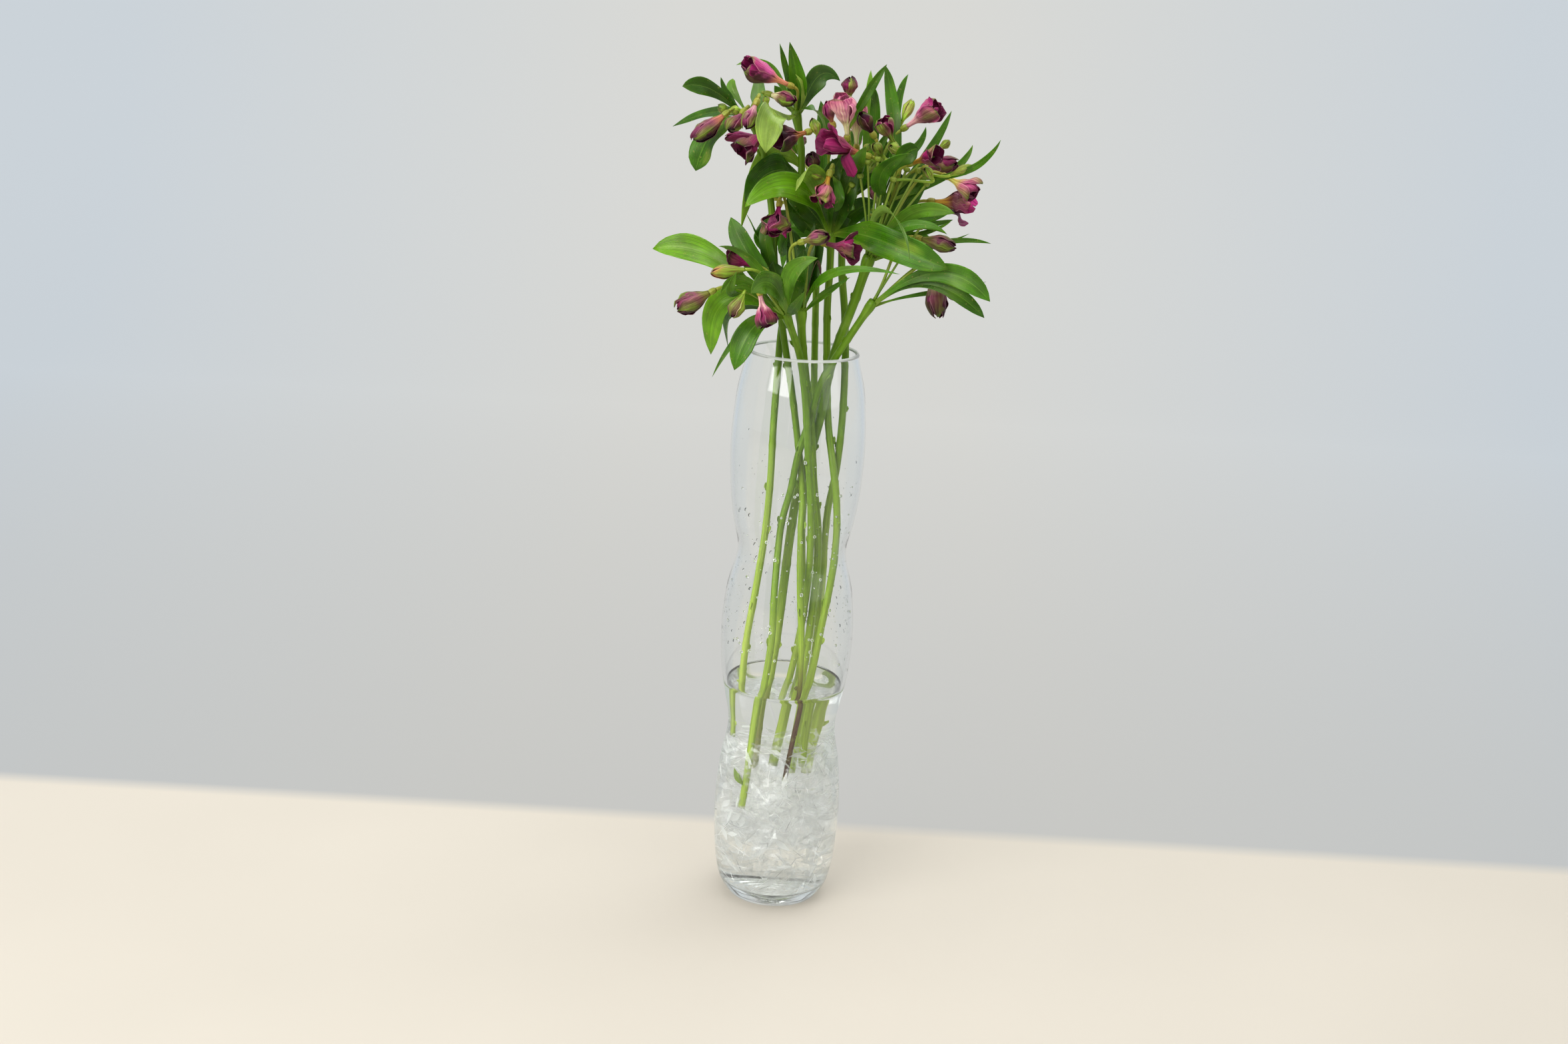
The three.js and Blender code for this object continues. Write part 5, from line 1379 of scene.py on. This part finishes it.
def add_slivers(film, material, draw, count, long, wide, bend):
    """Narrow slivers that taper to both ends, strewn through the whole of the film: pieces of film, or
    painted highlights and painted dark lines along its creases
    """
    share = np.linspace(-1, 1, 5)
    for _ in range(count):
        height = draw.uniform(FLOOR + 5, FILM_TOP - 2)
        middle = film_place(height, draw.uniform(0, 2 * np.pi), draw.uniform(0.2, 0.95))
        way = unit(draw.normal(size=3))
        side = unit(np.cross(way, draw.normal(size=3)))
        bow = np.outer(share ** 2, side) * draw.uniform(-bend, bend)
        spine = middle + np.outer(share, way) * draw.uniform(*long) + bow
        points = kept_inside(tapered(spine, side, draw.uniform(*wide)))
        add_thin(film, material, points, unit(np.cross(way, side)))


def make_film(material, shard, bright, dark_line):
    draw = np.random.default_rng(FILM_SEED)
    film = Piece("film_sheets")
    steps = np.linspace(-1, 1, SHEET_ROWS)
    u, v = np.meshgrid(steps, 0.7 * steps, indexing="ij")
    for k in range(FILM_SHEETS):
        height = mix(FLOOR + 8, FILM_TOP - 6, (k + 0.5) / FILM_SHEETS)
        middle = film_place(height, GOLDEN_TURN * k + draw.uniform(-0.4, 0.4), draw.uniform(0.05, 0.9))
        first = unit(draw.normal(size=3))
        second = unit(np.cross(first, draw.normal(size=3)))
        points = middle + draw.uniform(16, 30) * (u[..., None] * first + v[..., None] * second)
        add_thin(film, material, kept_inside(folded(points, draw)), unit(np.cross(first, second)))
    add_slivers(film, shard, draw, SHARDS, SHARD_LENGTH, SHARD_WIDTH, 0)
    # Painted highlights: white slivers along the creases, where the folds catch the light
    add_slivers(film, bright, draw, CREASE_HIGHLIGHTS, CREASE_LENGTH, CREASE_WIDTH, CREASE_BOW)
    # Painted dark lines along the creases, where the folds bend the light
    add_slivers(film, dark_line, draw, DARK_CREASE_LINES, CREASE_LENGTH, CREASE_WIDTH, CREASE_BOW)
    film.build("film", "film", smoothed=False)


def add_drop(piece, material, at, normal, size):
    first, second = across(normal)
    angles = round_angles(DROP_SIDES)[:, None]
    ring = np.cos(angles) * first + 1.25 * np.sin(angles) * second
    body = [at + size * (radius * ring + height * normal) for radius, height in DROP_OUTLINE]
    piece.add(np.array(body), grid_faces(len(body), DROP_SIDES, wraps=True), material)


def make_drops(clear):
    """Condensation on the inside of the glass and on the stems above the water"""
    draw = np.random.default_rng(DROP_SEED)
    drops = Piece("water_drops")
    for _ in range(WALL_DROPS):
        height = draw.triangular(WATER_LEVEL + 12, 250, VASE_HEIGHT - 60)
        angle = draw.uniform(0, 2 * np.pi)
        inward = np.array([-math.cos(angle), -math.sin(angle), 0.0])
        at = height * UP - (inner_radius(height) - 0.05) * inward
        add_drop(drops, clear, at, inward, 0.35 + 1.2 * draw.uniform(0, 1) ** 3)
    for (radius, _), curve in zip(STEMS, curves):
        for _ in range(STEM_DROPS):
            share = draw.uniform(0.2, 0.75)
            at = curve(share)
            if WATER_LEVEL + 8 < at[2] < VASE_HEIGHT:
                way = np.cross(tangent(curve, share), draw.normal(size=3))
                out = unit(way + FRONT * 0.8 * np.linalg.norm(way))
                add_drop(drops, clear, at + out * (radius - 0.1), out, 0.4 + 0.9 * draw.uniform(0, 1) ** 2)
    drops.build("water")


# The stems with their leaves, stalks and buds

def stem_colours(number, run, height, draw):
    """Green at the top and paler downwards, with a fresh cut, and brown where the end has browned"""
    upper = mix(*UPPER_STEM, draw.uniform(0, 1))
    lower = mix(*LOWER_STEM, draw.uniform(0, 1))
    colour = mix(upper, lower, smooth(run / run[-1], 0.35, 1)[:, None])
    if number in BROWN_ENDS:
        code, top, bottom, strength = BROWN_ENDS[number]
        colour = mix(colour, tint(code), smooth(height, top, bottom)[:, None] * strength)
    colour[-1] = CUT_TINT
    return colour


def add_stem(piece, material, number, draw):
    """A stem with five soft ridges, swollen at its whorl and nodes, and a dry scale at each node"""
    radius = STEMS[number - 1][0]
    curve = curves[number - 1]
    share = np.linspace(0, 1, STEM_ROWS)
    frames = frames_at(frames_along(curve, steps=2 * STEM_ROWS), share)
    at, sides, ups = frames
    run = run_of(at)
    swell = 1 + 0.42 * np.exp(-((run - 5) / 8) ** 2)
    nodes = np.arange(30 + draw.uniform(0, 12), run[-1] - 12, NODE_SPACING)
    for spot in nodes:
        swell = swell + 0.1 * np.exp(-((run - spot) / 2.2) ** 2)
    if number == NARROW_STEM:
        swell = swell * mix(1, NARROWING, smooth(at[:, 2], 260, 190))
    ridges = 1 + 0.025 * np.cos(5 * round_angles(STEM_SIDES) + 0.01 * run[:, None])
    colour = stem_colours(number, run, at[:, 2], draw)
    radii = 0.97 * radius * swell[:, None] * ridges
    add_tube(piece, material, frames, radii, colour, draw.uniform(0, 50), STEM_SIDES)
    for k, spot in enumerate(nodes):
        row = int(np.searchsorted(run, spot))
        angle = GOLDEN_TURN * k
        way = math.cos(angle) * sides[row] + math.sin(angle) * ups[row]
        rise = -tangent(curve, share[row])
        foot = at[row] + way * radius * 0.85
        tip = foot + rise * draw.uniform(3, 6) + way * draw.uniform(1.0, 2.4)
        scale = bezier(foot - rise * 1.5, foot + rise * 2 + way * 0.3, tip)
        look = [colour[row] * 0.9, colour[row] * 1.1, 0]
        breadth = draw.uniform(3, 5)
        add_blade(piece, material, scale, breadth, math.degrees(angle), "bract", look, draw, 6, 5, 0.4)


def add_stalk(piece, material, curve, draw, colour, tip_colour, radius=STALK_RADIUS):
    share = np.linspace(0, 1, STALK_ROWS)
    radii = radius * (1.02 - 0.16 * np.sin(np.pi * share))
    add_tube(piece, material, frames_at(frames_along(curve), share), radii,
             mix(colour, tip_colour, share[:, None]), draw.uniform(0, 50), STALK_SIDES)


def add_ovary(piece, material, foot, top, draw, colour):
    """The six-ribbed ovary between a stalk and its bloom"""
    share = np.linspace(0, 1, OVARY_ROWS)
    swell = eased([0, 0.25, 0.6, 1], [0.48, 0.9, 1, 0.82])(share)
    radii = 0.5 * OVARY_BREADTH * swell[:, None] * (0.93 + 0.08 * np.cos(6 * round_angles(OVARY_SIDES)))
    sides, ups = (np.broadcast_to(way, (OVARY_ROWS, 3)) for way in across(unit(top - foot)))
    frames = (mix(foot, top, share[:, None]), sides, ups)
    add_tube(piece, material, frames, radii, colour, draw.uniform(0, 50), OVARY_SIDES)


def add_bud(piece, stem, petal, bud, breadth, turn, draw):
    """A green bud, or one that begins to colour where it is large"""
    add_stalk(piece, stem, bud["curve"], draw, STALK_TINT, TINTS["lime"])
    tip = draw.choice(["green", "lime", "moss"]) if breadth < 10 else "tan"
    look = ["lime", "lime", tip, 0.6, 0.15] if breadth < 12 else ["lime", "green", "plum", 0.6, 0.15]
    add_closed_tepals(piece, petal, bud["base"], bud["tip"], breadth, turn, look, draw, 0.2)


def add_ray(piece, stem, number, end, draw):
    """A bare stalk with a small ovary, whose flower has dropped"""
    start, rise = whorl_of(number)
    axis = unit(end - start)
    curve = stalk_curve(root_to(number, end), rise, end, axis)
    add_stalk(piece, stem, curve, draw, RAY_TINT, TINTS["green"], RAY_RADIUS)
    add_ovary(piece, stem, end - axis, end + axis * 3, draw, TINTS["green"])


def make_stems(placing, leaf, stem, petal):
    blooms, buds, leaves, bracts = placing
    pieces = {number: Piece(f"stem_{number}_foliage") for number in range(1, len(STEMS) + 1)}
    draw = np.random.default_rng(STEM_SEED)
    for number, piece in pieces.items():
        add_stem(piece, stem, number, draw)
    for (number, *_), (_, support) in zip(BLOOMS, blooms):
        warm = mix(TINTS["green"], TINTS["gold"], draw.uniform(0, 0.5))
        add_stalk(pieces[number], stem, support["curve"], draw, STALK_TINT, warm)
        foot = support["foot"]
        top = support["top"]
        add_ovary(pieces[number], stem, foot, top + 0.2 * unit(top - foot), draw, warm)
    for (bloom, *_, breadth), bud in zip(BUDS, buds):
        add_bud(pieces[BLOOMS[bloom - 1][0]], stem, petal, bud, breadth, 10 * bloom, draw)
    for (number, *_, breadth, roll, outline, look), part in zip(LEAVES + INNER_LEAVES, leaves):
        add_blade(pieces[number], leaf, part["curve"], breadth, roll, outline, LEAF_LOOKS[look], draw)
    for (bloom, *_, breadth), part in zip(BRACTS, bracts):
        piece = pieces[BLOOMS[bloom - 1][0]]
        add_blade(piece, leaf, part["curve"], breadth, 0, "bract", LEAF_LOOKS["mid"], draw)
    for number, end in RAYS:
        add_ray(pieces[number], stem, number, np.array(end, float), draw)
    for number, piece in pieces.items():
        piece.build("foliage", f"stem_{number}")


def add_open_bloom(piece, material, tepals, look, size, loose, draw):
    outs = np.array([tepal.out for tepal in tepals])
    droops = np.zeros(len(tepals))
    if loose:
        side, droop = loose
        droops[np.argmax(outs @ unit(np.array(side, float)))] = droop
    for tepal, droop in zip(tepals, droops):
        grown = tepal._replace(length=tepal.length * size, spread=tepal.spread * size, half=tepal.half * size)
        add_open_tepal(piece, material, grown, look, draw, droop)
    add_stamens(piece, material, tepals, draw)


def make_blooms(blooms, petal):
    draw = np.random.default_rng(PETAL_SEED)
    for i, ((bloom, _), row, look) in enumerate(zip(blooms, BLOOMS, BLOOM_LOOKS), 1):
        _, form, _, _, breadth, turn = row
        piece = Piece(f"bloom_{i:02d}_tepals")
        size = BLOOM_SIZES.get(i, BLOOM_SIZE)
        if form == "closed":
            tip = mix(bloom["base"], bloom["tip"], size)
            look = [*look, CLOSED_TONE]
            add_closed_tepals(piece, petal, bloom["base"], tip, breadth * size, turn, look, draw)
        else:
            add_open_bloom(piece, petal, bloom["tepals"], look, size, LOOSE_TEPALS.get(i), draw)
        piece.build(f"petals_{form}", f"bloom_{i:02d}")


# Floor, backdrop, lights and camera

def stage_material():
    """Pale paper in front, and behind it a grey backdrop that glows as painted light, darker and bluer at the
    sides and darker towards the front
    """
    material, tree, shader = new_material("paper_and_cloth")
    x, y, _ = node(tree, "ShaderNodeSeparateXYZ", {0: object_place(tree)})
    behind = ranged(tree, y, *BACKDROP_START)
    paper = mixed(tree, spread(tree, speckle(tree, 1.5), 0.0, 1.0), PAPER_DARK, PAPER_LIGHT)
    # Painted light: the backdrop's glow is bluer at the sides and darker towards the front
    aside = ranged(tree, maths(tree, "ABSOLUTE", x), 0.3, 1.5)
    glow = mixed(tree, aside, BACKDROP_MIDDLE, BACKDROP_SIDES)
    glow = toned(tree, glow, ranged(tree, y, 0.15, 2.6, 0.78, 1.0))
    plug(tree, shader, {
        "Base Color": mixed(tree, behind, paper, (0.05, 0.05, 0.05)),
        "Emission Color": mixed(tree, behind, (0, 0, 0), glow), "Emission Strength": 1, "Roughness": 0.8,
    })
    return material


def make_stage():
    """A pale floor, and a grey backdrop that begins behind the vase and rises far behind it"""
    angles = np.linspace(0.1, math.pi / 2, 14)
    bend = [[BEND_START + BEND * math.sin(angle), BEND - BEND * math.cos(angle)] for angle in angles]
    rows = [[STAGE_FRONT, 0], [100, 0], [BEND_START, 0], *bend, [BEND_START + BEND, STAGE_TOP]]
    points = np.array([[x, y, z - STAGE_DROP] for y, z in rows for x in (-STAGE_HALF, STAGE_HALF)])
    new_object("floor", points, grid_faces(len(rows), 2), [stage_material()])


def light_scene():
    scene = bpy.context.scene
    for name, (at, size, power, colour) in LIGHTS.items():
        data = bpy.data.lights.new(name, "AREA")
        data.shape = "RECTANGLE"
        data.size, data.size_y = size
        data.energy = power
        data.color = colour
        light = bpy.data.objects.new(name, data)
        light.location = at
        light.rotation_euler = (Vector(LIGHT_TARGET) - Vector(at)).to_track_quat("-Z", "Y").to_euler()
        scene.collection.objects.link(light)
    scene.world = bpy.data.worlds.new("room")
    scene.world.use_nodes = True
    tree = scene.world.node_tree
    plug(tree, tree.nodes["Background"], {"Color": (1, 1, 0.985, 1), "Strength": 0.5})
    scene.view_settings.view_transform = "Standard"
    scene.view_settings.look = "Medium High Contrast"
    for name, count in BOUNCES.items():
        setattr(scene.cycles, name, count)


def make_camera():
    pitch, roll, yaw = (math.radians(angle) for angle in (PITCH, ROLL, YAW))
    forward = Vector((math.sin(yaw) * math.cos(pitch), math.cos(yaw) * math.cos(pitch), -math.sin(pitch)))
    level = Vector((math.cos(yaw), -math.sin(yaw), 0))
    upright = level.cross(forward)
    right = level * math.cos(roll) + upright * math.sin(roll)
    above = upright * math.cos(roll) - level * math.sin(roll)
    data = bpy.data.cameras.new("camera")
    data.lens = LENS
    camera = bpy.data.objects.new("camera", data)
    turn = Matrix((right, above, -forward)).transposed().to_4x4()
    camera.matrix_world = Matrix.Translation(Vector(CAMERA_PLACE) * MM) @ turn
    bpy.context.scene.collection.objects.link(camera)
    bpy.context.scene.camera = camera


make_camera()
make_stage()
light_scene()
leaf_green = leaf_material()
stem_green = stem_material()
petal_skin = petal_material()
glass_clear = clear_material("glass", 1.5, 0.9)
water_clear = clear_material("water", 1.33, 0.95)
placing = place_all()
make_stems(placing, leaf_green, stem_green, petal_skin)
make_blooms(placing[0], petal_skin)
dark_line = pale_material("dark_crease_line", (0.3, 0.32, 0.33), 0.3, 0.45)
# The rim takes a pale colour, a painted highlight where the rounded glass of the rim catches the light
make_vase(glass_clear, pale_material("rim", (0.86, 0.89, 0.88), 0.1, 0.62), dark_line)
make_water(water_clear)
shard = pale_material("shard", (0.96, 0.98, 0.97), 0.3, 0.3)
make_film(film_material(), shard, pale_material("crease_highlight", WHITE, 0.3, 0.85), dark_line)
make_drops(water_clear)
bpy.context.view_layer.update()
